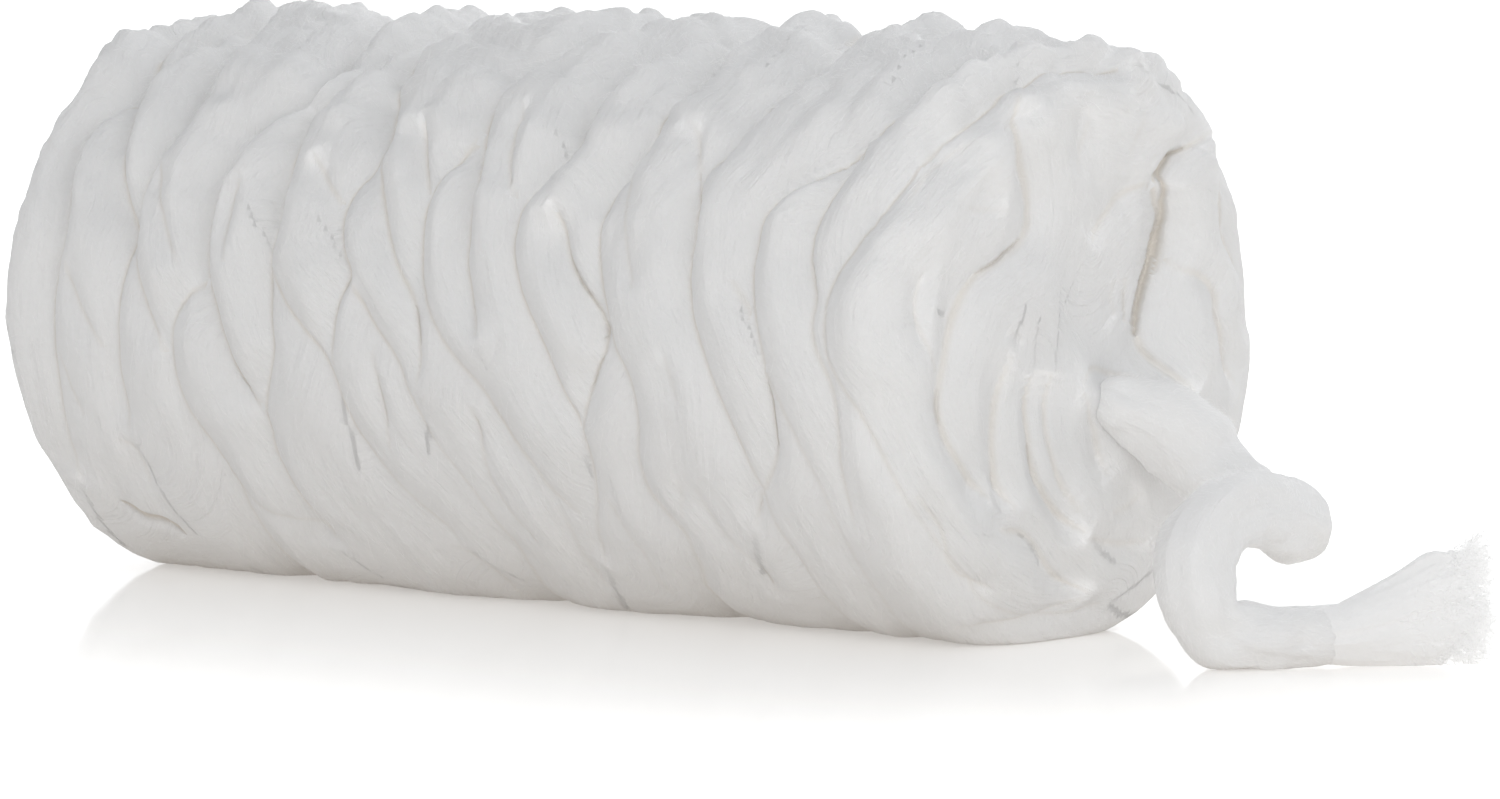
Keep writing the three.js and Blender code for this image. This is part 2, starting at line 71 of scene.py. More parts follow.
# Borders of the bands on the side, measured in the frame, in its pixels from the top left. A row
# holds the border's depth and the roundness of its bottom in millimetres, and its places from the top down.
# The band to the right of a border lies over the one to its left.
BANDS = (
    (3.0, 1.4, ((150, 58), (115, 84), (85, 105), (65, 132), (55, 162), (51, 200), (47, 235), (41, 262),
                (38, 300), (42, 345), (51, 398), (61, 440), (78, 482))),
    (3.0, 1.2, ((172, 22), (150, 45), (132, 75), (118, 109), (110, 141), (107, 173), (111, 205), (116, 227),
                (111, 259), (107, 300), (107, 345), (113, 391), (130, 436))),
    (3.2, 1.2, ((232, 28), (226, 45), (200, 63), (182, 98), (164, 120), (149, 143), (135, 166), (125, 190),
                (120, 217), (120, 240), (126, 275), (140, 318), (158, 356))),
    (3.0, 1.5, ((192, 280), (176, 295), (165, 320), (163, 345), (167, 375), (176, 402), (191, 430),
                (211, 460), (236, 496), (256, 530), (282, 562))),
    (3.4, 1.1, ((336, 44), (325, 64), (301, 82), (277, 95), (250, 114), (226, 139), (209, 162), (199, 186),
                (192, 212), (190, 240), (191, 266), (196, 292), (205, 325), (215, 354), (226, 378),
                (241, 398), (256, 414))),
    (3.2, 1.2, ((372, 48), (335, 80), (303, 103), (286, 130), (275, 156), (267, 184), (260, 220),
                (253, 252), (252, 290), (256, 320), (262, 347), (259, 382), (257, 412), (262, 434),
                (268, 456), (283, 484), (309, 518), (338, 547))),
    (2.6, 1.8, ((256, 262), (268, 295), (291, 328), (316, 360), (332, 398), (352, 440), (382, 478),
                (420, 512), (462, 548))),
    (3.2, 1.2, ((424, 32), (398, 58), (382, 95), (372, 135), (355, 165), (338, 190), (329, 217), (330, 246),
                (336, 270), (330, 286), (325, 308), (324, 336), (327, 368))),
    (2.4, 1.8, ((337, 276), (350, 302), (365, 332), (386, 362), (402, 402), (424, 440), (452, 476),
                (482, 512), (516, 556), (540, 592))),
    (2.8, 1.0, ((374, 142), (370, 170), (372, 198), (377, 236), (386, 268), (400, 300), (406, 328),
                (409, 352), (412, 392))),
    (3.2, 1.4, ((470, 124), (450, 147), (431, 170), (416, 198), (408, 236), (407, 268), (414, 300),
                (430, 338), (451, 370), (475, 397), (500, 440), (526, 471), (552, 501), (582, 522))),
    (3.4, 1.1, ((566, 44), (545, 50), (520, 61), (500, 79), (482, 102), (470, 138), (462, 173), (457, 200),
                (454, 230), (455, 265), (461, 302), (474, 344))),
    (3.4, 1.2, ((668, 38), (632, 54), (606, 76), (586, 92), (574, 112), (563, 134), (548, 152), (530, 170),
                (514, 192), (505, 216), (502, 250), (507, 282), (518, 318), (535, 360), (551, 396),
                (566, 421), (577, 447), (585, 474), (591, 504), (594, 534), (604, 566))),
    (3.0, 0.9, ((551, 202), (554, 240), (561, 266), (573, 291), (586, 316), (590, 340), (590, 356),
                (583, 374), (578, 398), (574, 430), (576, 452))),
    (3.4, 1.2, ((728, 34), (706, 54), (680, 80), (660, 97), (645, 121), (630, 145), (614, 166), (600, 185),
                (591, 207), (585, 240), (586, 272), (592, 310), (601, 344), (615, 370), (625, 400),
                (630, 432), (632, 462), (641, 490), (655, 510), (672, 526), (686, 542), (696, 567),
                (702, 594))),
    (3.4, 1.2, ((842, 34), (818, 52), (798, 72), (770, 89), (750, 106), (738, 123), (725, 140), (708, 155),
                (693, 172), (684, 196), (677, 230), (673, 268), (674, 300), (683, 332), (697, 368),
                (712, 402), (728, 440), (748, 478), (772, 520), (800, 566), (826, 604))),
    (3.4, 1.2, ((962, 50), (930, 72), (900, 98), (880, 114), (856, 132), (830, 150), (804, 166), (780, 180),
                (761, 195), (750, 211), (745, 232), (740, 262), (741, 292), (747, 326), (754, 356),
                (759, 392), (764, 428), (770, 458), (762, 488), (755, 508), (755, 530))),
    (2.8, 1.5, ((757, 372), (778, 414), (800, 456), (822, 500), (842, 540), (866, 582), (892, 618))),
    (3.2, 1.1, ((868, 126), (850, 146), (834, 166), (819, 190), (808, 214), (799, 246), (800, 276),
                (804, 297), (801, 318), (803, 342), (811, 364), (822, 388), (830, 422), (834, 462),
                (842, 500), (858, 540))),
    (2.8, 2.4, ((1000, 92), (960, 122), (926, 152), (896, 186), (868, 214), (845, 243), (828, 272),
                (818, 302), (816, 332), (821, 362), (836, 390), (856, 418), (878, 456), (904, 500),
                (936, 546), (972, 586))),
)

# Short creases on the side, in the same way
CREASES = (
    (1.6, 1.8, ((56, 256), (68, 295), (82, 327), (98, 355))),
    (1.6, 1.8, ((52, 352), (68, 395), (86, 423))),
    (2.0, 1.0, ((312, 150), (322, 182), (332, 200))),
    (1.4, 0.9, ((360, 345), (368, 372), (375, 400), (381, 432), (389, 462))),
    (1.8, 1.2, ((526, 98), (511, 124), (504, 150), (502, 174), (507, 192))),
    (1.4, 1.8, ((630, 150), (625, 172), (621, 202), (620, 228), (623, 262), (631, 296))),
    (1.8, 1.0, ((694, 118), (692, 150), (689, 172))),
    (2.0, 1.0, ((720, 272), (732, 298), (742, 320))),
    (2.0, 1.0, ((460, 402), (470, 430), (477, 460), (487, 486), (501, 508), (517, 526), (531, 538),
                (541, 550))),
    (1.6, 2.0, ((550, 505), (566, 532), (586, 566), (610, 592))),
    (1.8, 1.6, ((600, 496), (620, 526), (644, 556), (662, 586), (682, 604))),
    (2.2, 1.0, ((668, 476), (679, 490), (681, 502), (684, 524))),
    (2.0, 1.2, ((692, 482), (704, 508), (726, 538), (752, 562), (768, 582), (778, 600))),
    (1.6, 1.2, ((818, 512), (830, 528), (833, 558))),
    (1.6, 1.2, ((808, 566), (824, 588), (842, 596))),
    (1.6, 1.8, ((450, 545), (475, 564), (496, 580), (522, 600))),
    (1.6, 2.0, ((218, 473), (255, 508), (309, 527), (336, 545))),
    (1.6, 1.8, ((112, 440), (130, 448), (140, 466), (150, 492))),
    (2.0, 1.4, ((420, 110), (417, 140), (416, 172), (420, 196))),
    (1.6, 1.6, ((660, 350), (668, 380), (678, 410))),
    (1.4, 1.8, ((240, 170), (226, 196), (220, 232), (222, 268))),
    (1.4, 1.8, ((156, 150), (152, 190), (160, 232), (172, 268))),
)

# Borders and creases on the near face
FACE_BANDS = (
    (3.2, 1.0, ((1022, 84), (1021, 112), (1028, 140), (1038, 170), (1045, 200), (1043, 226), (1034, 242),
                (1012, 262), (985, 279), (970, 308), (960, 340), (953, 378), (949, 408), (960, 444),
                (981, 476), (1003, 502))),
    (3.4, 1.0, ((1218, 126), (1204, 138), (1189, 156), (1176, 174), (1168, 186), (1178, 206), (1184, 232),
                (1178, 256), (1172, 282), (1166, 312), (1161, 344), (1176, 366), (1200, 394))),
    (2.8, 0.9, ((1016, 352), (1009, 386), (1007, 420), (1007, 452), (1012, 488), (1026, 514))),
    (3.0, 0.8, ((1038, 372), (1040, 410), (1045, 454), (1056, 488), (1075, 514), (1096, 536))),
    (2.6, 0.8, ((1058, 370), (1055, 402), (1058, 440), (1070, 478), (1090, 514))),
    (2.8, 1.2, ((1004, 534), (1028, 530), (1047, 544), (1060, 568), (1076, 580), (1098, 598))),
    (2.6, 1.2, ((1168, 186), (1150, 186), (1130, 200), (1112, 224), (1100, 248))),
    (2.4, 1.4, ((1214, 128), (1229, 164), (1229, 208), (1238, 232), (1252, 256), (1262, 292), (1262, 340))),
)
FACE_CREASES = (
    (1.4, 1.2, ((1008, 208), (988, 210), (966, 206))),
    (1.8, 1.2, ((928, 268), (920, 298), (922, 324), (935, 346), (948, 376))),
    (1.6, 1.0, ((1010, 324), (1018, 336), (1030, 340))),
    (2.2, 1.0, ((1183, 256), (1190, 270), (1205, 272), (1222, 284), (1229, 300), (1226, 316), (1236, 346),
                (1245, 386))),
    (1.8, 0.9, ((1140, 272), (1144, 300), (1149, 330))),
    (1.6, 0.9, ((1128, 276), (1130, 300), (1136, 322))),
    (1.8, 0.9, ((1148, 268), (1160, 262), (1172, 262))),
    (1.8, 1.6, ((1080, 388), (1092, 414), (1106, 446), (1117, 480))),
    (2.2, 1.6, ((1080, 388), (1090, 374), (1106, 368), (1130, 374), (1160, 382))),
    (2.0, 1.2, ((914, 494), (934, 520), (946, 536), (948, 560), (956, 580), (976, 590), (1002, 594))),
    (1.4, 1.6, ((1090, 536), (1128, 545), (1160, 540))),
    (1.4, 1.8, ((950, 630), (1000, 632), (1050, 620), (1092, 600))),
    (1.6, 1.4, ((1150, 490), (1140, 508), (1116, 514))),
    (1.2, 2.0, ((905, 205), (922, 172), (952, 150), (985, 136))),
    (1.2, 2.2, ((1150, 100), (1142, 130), (1130, 158))),
    (1.2, 2.0, ((1098, 108), (1090, 140), (1084, 180))),
)

# Narrow dark slits, a row for each: its depth and half width in millimetres, and its places
SLITS = (
    (7, 0.8, ((586, 316), (590, 330), (588, 344))),
    (5, 0.5, ((590, 354), (584, 369), (580, 384), (577, 398))),
    (4, 0.4, ((400, 300), (405, 320), (407, 336), (409, 352))),
    (4, 0.4, ((336, 270), (331, 284), (328, 298))),
    (4, 0.4, ((216, 362), (226, 380), (237, 395), (250, 408))),
    (4, 0.4, ((257, 415), (262, 434), (266, 450))),
    (3, 0.4, ((555, 242), (562, 268), (574, 294), (585, 314))),
    (4, 0.4, ((756, 378), (760, 404), (766, 430), (770, 456))),
    (3, 0.4, ((117, 228), (114, 242), (111, 258))),
    (8, 1.4, ((114, 500), (140, 517), (166, 524), (190, 540))),
    (4, 0.7, ((127, 440), (133, 456))),
    (3, 0.4, ((500, 79), (516, 65), (540, 53))),
    (4, 0.6, ((198, 68), (190, 82), (182, 98))),
    (3, 0.4, ((300, 83), (313, 77))),
    (3, 0.4, ((799, 250), (802, 275), (805, 298))),
    (3, 0.4, ((690, 162), (687, 180), (682, 202))),
    (3, 0.4, ((463, 412), (472, 434), (476, 452))),
    (3, 0.4, ((520, 530), (538, 546))),
    (4, 0.5, ((677, 490), (681, 501))),
    (3, 0.4, ((671, 526), (686, 542))),
    (3, 0.4, ((503, 160), (503, 186))),
    (3, 0.4, ((755, 562), (774, 592))),
    (3, 0.7, ((42, 248), (38, 292))),
    (2, 0.4, ((368, 372), (377, 409), (382, 436))),
    (3, 0.6, ((261, 336), (262, 352))),
    (3, 0.4, ((756, 500), (755, 522))),
    (8, 0.9, ((1204, 138), (1189, 157), (1176, 176), (1181, 204), (1184, 230), (1178, 254), (1173, 280),
              (1167, 310), (1161, 342))),
    (8, 1.5, ((1185, 226), (1180, 250), (1175, 278))),
    (3, 0.4, ((1161, 344), (1176, 366))),
    (3, 0.4, ((1036, 238), (1012, 260), (986, 278))),
    (3, 0.5, ((952, 386), (950, 408), (956, 432))),
    (3, 0.4, ((1043, 440), (1048, 470), (1056, 492))),
    (3, 0.4, ((1008, 470), (1012, 496))),
    (3, 0.4, ((1066, 574), (1078, 580))),
    (2, 0.4, ((1143, 286), (1148, 328))),
)

# The form of an end face: y, z and depth in from the end at places along each of its folds
FACE_FORM = (
    # the last turn, low along the rim
    ((-74, 100, 24), (-80, 68, 20), (-66, 34, 15), (-36, 13, 13), (2, 8, 14), (38, 18, 16), (64, 42, 18)),
    ((2, 18, 9), (28, 21, 9), (48, 32, 10), (60, 48, 12), (64, 66, 14)),
    ((-10, 10, 14), (20, 11, 14), (44, 22, 14), (62, 40, 14)),
    # broad folds that come over the rim at the left
    ((-28, 158, 16), (-58, 128, 9), (-72, 92, 6), (-64, 58, 5), (-40, 34, 8)),
    ((-76, 70, 10), (-66, 44, 6), (-50, 26, 6), (-25, 15, 7), (8, 12, 9)),
    ((-60, 36, 8), (-44, 28, 3), (-26, 27, 3), (-8, 19, 6), (8, 13, 10)),
    ((-18, 120, 8), (-36, 99, 4), (-43, 76, 4), (-39, 57, 4), (-28, 42, 6), (-12, 28, 9)),
    # folds that come down from the top into the hollow
    ((-12, 170, 18), (-10, 148, 6), (-8, 126, 5), (4, 108, 10), (24, 94, 18)),
    ((18, 166, 16), (20, 147, 5), (12, 126, 6), (10, 108, 10), (24, 92, 18)),
    ((50, 150, 14), (38, 138, 5), (24, 128, 6), (14, 114, 9)),
    ((46, 124, 9), (30, 114, 7), (20, 102, 9), (16, 90, 14)),
    ((40, 106, 14), (37, 96, 12), (30, 87, 14)),
    ((32, 108, 14), (28, 98, 12), (22, 88, 15)),
    # upright folds at the right
    ((58, 146, 8), (56, 128, 3), (52, 112, 4), (50, 99, 9)),
    ((66, 106, 7), (54, 93, 2), (50, 77, 2), (58, 60, 6)),
    ((40, 156, 18), (56, 138, 14), (71, 112, 13), (76, 86, 13), (72, 60, 13), (58, 36, 14), (36, 18, 16)),
    # thin folds beside the loose end's root
    ((10, 92, 14), (-16, 76, 8), (-22, 56, 5), (-14, 38, 5), (0, 25, 6), (18, 15, 10)),
    ((14, 88, 15), (-4, 70, 9), (-5, 52, 8), (4, 38, 7), (20, 27, 9)),
    ((22, 82, 16), (8, 66, 11), (13, 50, 10), (24, 38, 10), (36, 32, 12)),
)
FAR_END_TURN = math.radians(150)

# The loose end's centre line, as in the part's source
CORD_ROUTE = (
    (158, 17, 70), (168, 24, 65), (180, 31, 58), (193, 36, 51), (206, 39, 46), (219, 39, 42), (230, 35, 39),
    (237, 26, 38), (240, 15, 39), (241, 3, 41), (241, -9, 41), (241, -20, 38), (240, -28, 31), (240, -32, 22),
    (241, -31, 14), (245, -26, 9.6), (251, -18, 9.1), (258, -9, 9.1), (265, -1, 9.1),
)
# The soft end settles a little on its way: shifts that swell and fade between two of the route's points
SETTLING = (
    # first point, last point, shift
    (-3, 3, (14, -9, -2)),
    (2, 8, (-5, -4.5, -7)),
    (11.5, 17.5, (1.2, 1.0, 0.8)),
    (4, 14, (-5, -3, 0)),
)
SETTLING_POWER = 1.4


# Curves and noise


def unit(vectors):
    return vectors / np.maximum(np.linalg.norm(vectors, axis=-1, keepdims=True), 1e-9)


def smooth_line(points, count):
    """A Catmull-Rom curve through the points, at even steps of its parameter."""
    points = np.asarray(points, float)
    padded = np.vstack([2 * points[0] - points[1], points, 2 * points[-1] - points[-2]])
    place = np.linspace(0, len(points) - 1, count)
    first = np.minimum(place.astype(int), len(points) - 2)
    u = (place - first)[:, None]
    a, b, c, d = (padded[first + k] for k in range(4))
    return 0.5 * (2 * b + (c - a) * u + (2 * a - 5 * b + 4 * c - d) * u**2 + (3 * b - a - 3 * c + d) * u**3)


def hashed(x, y, z):
    """An even scatter of values from 0 to 1 on whole-number places, by large odd factors."""
    mixed = (x * 73856093) ^ (y * 19349663) ^ (z * 83492791)
    mixed = ((mixed ^ (mixed >> 13)) * 1274126177) & 0x7FFFFFFF
    mixed = ((mixed ^ (mixed >> 15)) * 2246822519) & 0x7FFFFFFF
    return (mixed ^ (mixed >> 16)) / 0x7FFFFFFF


def noise(x, y, z):
    """Smooth noise from -1 to 1 with one bump for each unit."""
    x, y, z = np.broadcast_arrays(x, y, z)
    corner = [np.floor(v).astype(np.int64) for v in (x, y, z)]
    part = [v - c for v, c in zip((x, y, z), corner)]
    blend = [p * p * (3 - 2 * p) for p in part]
    total = 0.0
    for i in (0, 1):
        for j in (0, 1):
            for k in (0, 1):
                weight = 1.0
                for chosen, share in zip((i, j, k), blend):
                    weight = weight * (share if chosen else 1 - share)
                total = total + weight * hashed(corner[0] + i, corner[1] + j, corner[2] + k)
    return 2 * total - 1


def settled_route():
    """The loose end's centre line as it lies here."""
    route = np.array(CORD_ROUTE, float)
    for first, last, shift in SETTLING:
        place = (np.arange(len(route)) - first) / (last - first)
        route += np.sin(math.pi * np.clip(place, 0, 1))[:, None] ** SETTLING_POWER * np.array(shift, float)
    return route


# The plain rounded roll that everything is laid on

FLAT_RADIUS = ROLL_RADIUS - RIM_RADIUS
HALF_SIDE = HALF_LENGTH - RIM_RADIUS
ALONG_STEP, AROUND_STEP = 1.15, 2.36
NEAR_STEP, FAR_STEP = 1.0, 2.1


def off_roll(places):
    """Height of places over the plain rounded roll, and the outward direction there."""
    radial = np.stack([places[:, 1], places[:, 2] - AXIS_HEIGHT], 1)
    distance = np.linalg.norm(radial, axis=1)
    outward = radial / np.maximum(distance, 1e-9)[:, None]
    past_side = distance - FLAT_RADIUS
    past_end = np.abs(places[:, 0]) - HALF_SIDE
    round_part = np.hypot(np.maximum(past_side, 0), np.maximum(past_end, 0))
    height = round_part + np.minimum(np.maximum(past_side, past_end), 0) - RIM_RADIUS
    on_rim = (past_side > 0) & (past_end > 0)
    along = np.where(on_rim, past_end, past_end > past_side).astype(float)
    across = np.where(on_rim, past_side, past_end <= past_side).astype(float)
    length = np.maximum(np.hypot(along, across), 1e-9)
    along, across = along / length, across / length
    normal = np.stack([np.sign(places[:, 0]) * along, outward[:, 0] * across, outward[:, 1] * across], 1)
    return height, normal


def radius_at(x):
    past_end = np.clip(np.abs(x) - HALF_SIDE, 0, RIM_RADIUS)
    return FLAT_RADIUS + np.sqrt(RIM_RADIUS**2 - past_end**2)


def end_rings(step):
    """Rings of one end, from its middle over the rim: place along, radius and the two parts of the normal."""
    face = np.arange(0.5, FLAT_RADIUS, step)
    turn = np.linspace(0, math.pi / 2, int(RIM_RADIUS * math.pi / 2 / step))
    along, out = np.cos(turn), np.sin(turn)
    ones, zeros = np.ones(len(face)), np.zeros(len(face))
    return np.concatenate([
        np.stack([np.full(len(face), HALF_LENGTH), face, ones, zeros], 1),
        np.stack([HALF_SIDE + RIM_RADIUS * along, FLAT_RADIUS + RIM_RADIUS * out, along, out], 1),
    ])


def plain_roll(coarser):
    """Places and normals of the plain roll, ring by ring from the near face's middle to the far one's."""
    near, far = end_rings(NEAR_STEP * coarser), end_rings(FAR_STEP * coarser)
    middle = np.linspace(HALF_SIDE, -HALF_SIDE, int(2 * HALF_SIDE / ALONG_STEP / coarser))[1:-1]
    ones, zeros = np.ones(len(middle)), np.zeros(len(middle))
    barrel = np.stack([middle, ROLL_RADIUS * ones, zeros, ones], 1)
    rings = np.concatenate([near, barrel, far[::-1] * np.array([-1, 1, -1, 1])])
    around = int(2 * math.pi * ROLL_RADIUS / AROUND_STEP / coarser)
    turn = np.linspace(0, 2 * math.pi, around, endpoint=False)
    y, z = -np.cos(turn), np.sin(turn)
    x, radius, normal_x, normal_r = (rings[:, k][:, None] for k in range(4))
    ones = np.ones(around)
    places = np.stack([x * ones, radius * y, AXIS_HEIGHT + radius * z], 2)
    normals = np.stack([normal_x * ones, normal_r * y, normal_r * z], 2)
    return places, normals


def turned_to_far_end(places):
    c, s = math.cos(FAR_END_TURN), math.sin(FAR_END_TURN)
    x, y, z = places.T
    return np.stack([-x, -(y * c - (z - AXIS_HEIGHT) * s), y * s + (z - AXIS_HEIGHT) * c + AXIS_HEIGHT], 1)


def turned_to_back(places):
    return places * np.array([-1, -1, 1])


FORM_REACH = 9.0
FORM_REST = 0.12  # weight of the plain face beside the folds' own


def face_form(places):
    """How far the smooth form of the end faces lies above the plain roll."""
    known = np.array([(HALF_LENGTH - depth, y, z) for fold in FACE_FORM for y, z, depth in fold], float)
    raised = np.minimum(off_roll(known)[0], 0)
    total = np.zeros(len(places))
    for centres in (known, turned_to_far_end(known)):
        own = np.flatnonzero(np.sign(centres[0, 0]) * places[:, 0] > HALF_LENGTH - 2.5 * RIM_RADIUS)
        gap = places[own][:, None, 1:] - centres[None, :, 1:]
        weight = np.exp(-(gap**2).sum(2) / (2 * FORM_REACH**2))
        total[own] += weight @ raised / (weight.sum(1) + FORM_REST)
    on_face = np.clip((np.abs(places[:, 0]) - HALF_LENGTH + RIM_RADIUS) / RIM_RADIUS, 0, 1)
    return total * on_face**2 * (3 - 2 * on_face)


# Lines measured in the frame, laid back on the roll

RAY_STEPS = 90
RAY_STEP, RAY_SHARE = 0.4, 0.8  # the least step, and the share of the gap that a step takes
RAY_END = 0.05
LEAD_FROM, TOP_END, LEAD_STEP = 52, 104, 4  # degrees from level: where borders are led on from, and to
LEAD_REACH = 6  # points that give a border's lean at its end
LEAN_LIMIT = 0.35
LINE_STEP = 2.5
SHORT_LINE = 26.0  # shorter lines are shallower by as much
FADE, FACE_FADE = 11.0, 13.0
FACE_SHARE = 0.95
SIDE_PASSES, FACE_PASSES = 3, 10  # how often a line's kinks are smoothed
RIM_SHARE = 0.7  # how far round the rim the side reaches
WEAR, WEAR_LENGTH = 0.3, 21


def camera_axes():
    """The camera's place in millimetres and its directions to the back, the right and up."""
    back = Vector((
        math.sin(CAMERA_AZIMUTH) * math.cos(CAMERA_ELEVATION),
        -math.cos(CAMERA_AZIMUTH) * math.cos(CAMERA_ELEVATION),
        math.sin(CAMERA_ELEVATION),
    ))
    right = Vector((math.cos(CAMERA_AZIMUTH), math.sin(CAMERA_AZIMUTH), 0))
    return (CAMERA_TARGET + back * CAMERA_DISTANCE) / MM, back, right, back.cross(right)


def laid_back(pixels):
    """Places in the frame, laid on the roll's form along the camera's rays."""
    eye, back, right, up = (np.array(v) for v in camera_axes())
    pixels = np.asarray(pixels, float)
    across, down = pixels[:, :1] - FRAME_WIDTH / 2, pixels[:, 1:] - FRAME_HEIGHT / 2
    ray = unit(across * right - down * up - FOCAL_PIXELS * back)
    places = eye + ray * (CAMERA_DISTANCE / MM - 2 * HALF_LENGTH)
    best, lowest = places.copy(), np.full(len(pixels), np.inf)
    for _ in range(RAY_STEPS):
        gap = off_roll(places)[0] - face_form(places)
        closer = gap < lowest
        best[closer], lowest[closer] = places[closer], gap[closer]
        step = np.where(gap > RAY_END, np.maximum(gap, RAY_STEP) * RAY_SHARE, 0)
        places = places + ray * step[:, None]
    return best


def over_the_top(line):
    """A border on the side, led on over the top and under the roll where it comes close to them."""
    for last, before, goal in ((0, LEAD_REACH, TOP_END), (-1, -1 - LEAD_REACH, -TOP_END)):
        angle = np.degrees(np.arctan2(line[:, 2] - AXIS_HEIGHT, -line[:, 1]))
        if abs(angle[last]) < LEAD_FROM or abs(angle[last]) > TOP_END - LEAD_STEP:
            continue
        lean = (line[last, 0] - line[before, 0]) / (angle[last] - angle[before])
        added = np.arange(angle[last], goal, math.copysign(LEAD_STEP, goal))[1:]
        x = line[last, 0] + np.clip(lean, -LEAN_LIMIT, LEAN_LIMIT) * (added - angle[last])
        radius = np.minimum(radius_at(x), ROLL_RADIUS)
        y, z = -radius * np.cos(np.radians(added)), AXIS_HEIGHT + radius * np.sin(np.radians(added))
        more = np.stack([x, y, z], 1)
        line = np.concatenate([more[::-1], line] if last == 0 else [line, more])
    return line


def evened(line, passes):
    """A line on the roll with its small kinks smoothed out."""
    for _ in range(passes):
        line = np.concatenate([line[:1], (line[:-2] + 2 * line[1:-1] + line[2:]) / 4, line[-1:]])
    return line


def fold_line(places, depth, bottom, seed, fade=FADE, **facts):
    """A border, crease or slit: its foot on the plain roll, its direction and depth at each step."""
    height, normal = off_roll(places)
    foot = places - height[:, None] * normal
    reach = np.concatenate([[0], np.cumsum(np.linalg.norm(np.diff(foot, axis=0), axis=1))])
    even = np.linspace(0, reach[-1], max(int(reach[-1] / LINE_STEP), 4))
    foot = np.stack([np.interp(even, reach, foot[:, k]) for k in range(3)], 1)
    depth *= min(even[-1] / SHORT_LINE, 1)
    near_end = np.minimum(even, even[-1] - even)
    fade = np.clip(near_end / min(fade, even[-1] / 2.5), 0, 1)
    worn = 1 + WEAR * noise(even / WEAR_LENGTH, seed * 3.3, 1)
    heading = unit(np.gradient(foot, axis=0))
    depth = depth * fade * (2 - fade) * worn
    return {"foot": foot, "heading": heading, "reach": even, "bottom": bottom, "depth": depth, **facts}


def border_lines():
    """Every border and crease, with its copy on the back or on the far end."""
    lines = []
    for table, owns, on_side in (
        (BANDS, True, True), (CREASES, False, True), (FACE_BANDS, True, False), (FACE_CREASES, False, False),
    ):
        passes, share, fade = (SIDE_PASSES, 1, FADE) if on_side else (FACE_PASSES, FACE_SHARE, FACE_FADE)
        for depth, bottom, pixels in table:
            line = evened(laid_back(smooth_line(pixels, 5 * len(pixels))), passes)
            if owns and on_side:
                line = over_the_top(line)
            copy = turned_to_back(line) if on_side else turned_to_far_end(line)
            for places, copied in ((line, False), (copy, True)):
                made = fold_line(
                    places, depth * share, bottom, len(lines), fade,
                    owns=owns, on_side=on_side, far_face=copied and not on_side,
                )
                if copied and on_side:
                    # the back's borders end before they reach the near face
                    room = HALF_LENGTH - RIM_SHARE * RIM_RADIUS - made["foot"][:, 0]
                    made["depth"] = made["depth"] * np.clip(room / RIM_RADIUS, 0, 1)
                lines.append(made)
    return lines


def slit_lines():
    slits = []
    for depth, width, pixels in SLITS:
        line = evened(laid_back(smooth_line(pixels, 5 * len(pixels))), SIDE_PASSES)
        on_side = abs(off_roll(line)[1][len(line) // 2, 0]) < RIM_SHARE
        for places in (line, turned_to_back(line) if on_side else turned_to_far_end(line)):
            slits.append(fold_line(places, depth, width, 0))
    return slits


def beside(line, places, normals):
    """Where places lie beside a line: millimetres along it, and across it to its right."""
    foot, heading = line["foot"], line["heading"]
    squares = (foot**2).sum(1)[None, :] - 2 * places @ foot.T
    nearest = squares.argmin(1)
    gap = places - foot[nearest]
    spacing = line["reach"][1]
    ahead = np.einsum("ij,ij->i", gap, heading[nearest])
    at_start, at_end = nearest == 0, nearest == len(foot) - 1
    ahead = np.clip(ahead, np.where(at_start, 0, -spacing), np.where(at_end, 0, spacing))
    gap = gap - heading[nearest] * ahead[:, None]
    gap = gap - normals * np.einsum("ij,ij->i", gap, normals)[:, None]
    to_right = np.cross(normals, heading[nearest])
    across = np.linalg.norm(gap, axis=1) * np.where(np.einsum("ij,ij->i", gap, to_right) < 0, -1, 1)
    return line["reach"][nearest] + ahead, across, nearest


def close_to(line, places, room):
    low, high = line["foot"].min(0) - room, line["foot"].max(0) + room
    return np.flatnonzero(((places > low) & (places < high)).all(1))


def slit_ratio(slit, places, normals):
    """How far places lie across a slit, in its half widths there."""
    run, side, nearest = beside(slit, places, normals)
    share = 2 * run / slit["reach"][-1] - 1
    half_width = slit["bottom"] * np.sqrt(np.clip(1 - share**2, 0, 1)) + 0.05
    return side / half_width, side, nearest


# The roll's own surface

UPPER_REACH = 12.5  # how far the band that lies over a border rounds off towards it
LOWER_REACH = 15.0  # and the band under it
CREASE_SHARE = 0.7  # of that reach
ROUNDNESS = 1.9
DEPTH_SHARE = 1.8
LOOSE_TOP, LOOSE_LEFT = 0.75, 0.28
WANDER, WANDER_SIZE = 0.25, 19
STEP, STEP_DEPTH, STEP_WIDTH, STEP_REACH = 0.9, 5.3, 1.2, 6.0  # the upper band's step over the lower one
CREASE_DEPTH, CREASE_WIDTH = 6.5, 3.0  # a border this deep is shaded in full
JOIN = 2.5  # power by which the grooves of meeting borders add up
OWNER_REACH = 45.0
NO_OWNER_COST = 60.0
WRONG_SIDE_COST = 30
CALM_REACH = 5.0
BETWEEN_BANDS = 8
TOP_BAND = (62.0, 80.0)  # heights over the axis between which the loose fibres of the top set in
SLIT_SPREAD = 3.0
SLIT_OPENING = 0.25
SLIT_DEPTH = 4  # a slit this deep gets its painted shade in full
LEAST_SLIT = 2.4  # the finest half width that the surface's own steps can hold
COLLAR_RISE, COLLAR_REACH, ROOT_RADIUS = 3.0, 6.0, 8.5
LUMPS = ((0.9, 34, 5), (0.45, 14, 9))  # height, size and shift of each layer of soft lumps
PUFFS = ((4.6, 13, 13), (2.8, 6.5, 21))  # and of the rounder puffs on the top
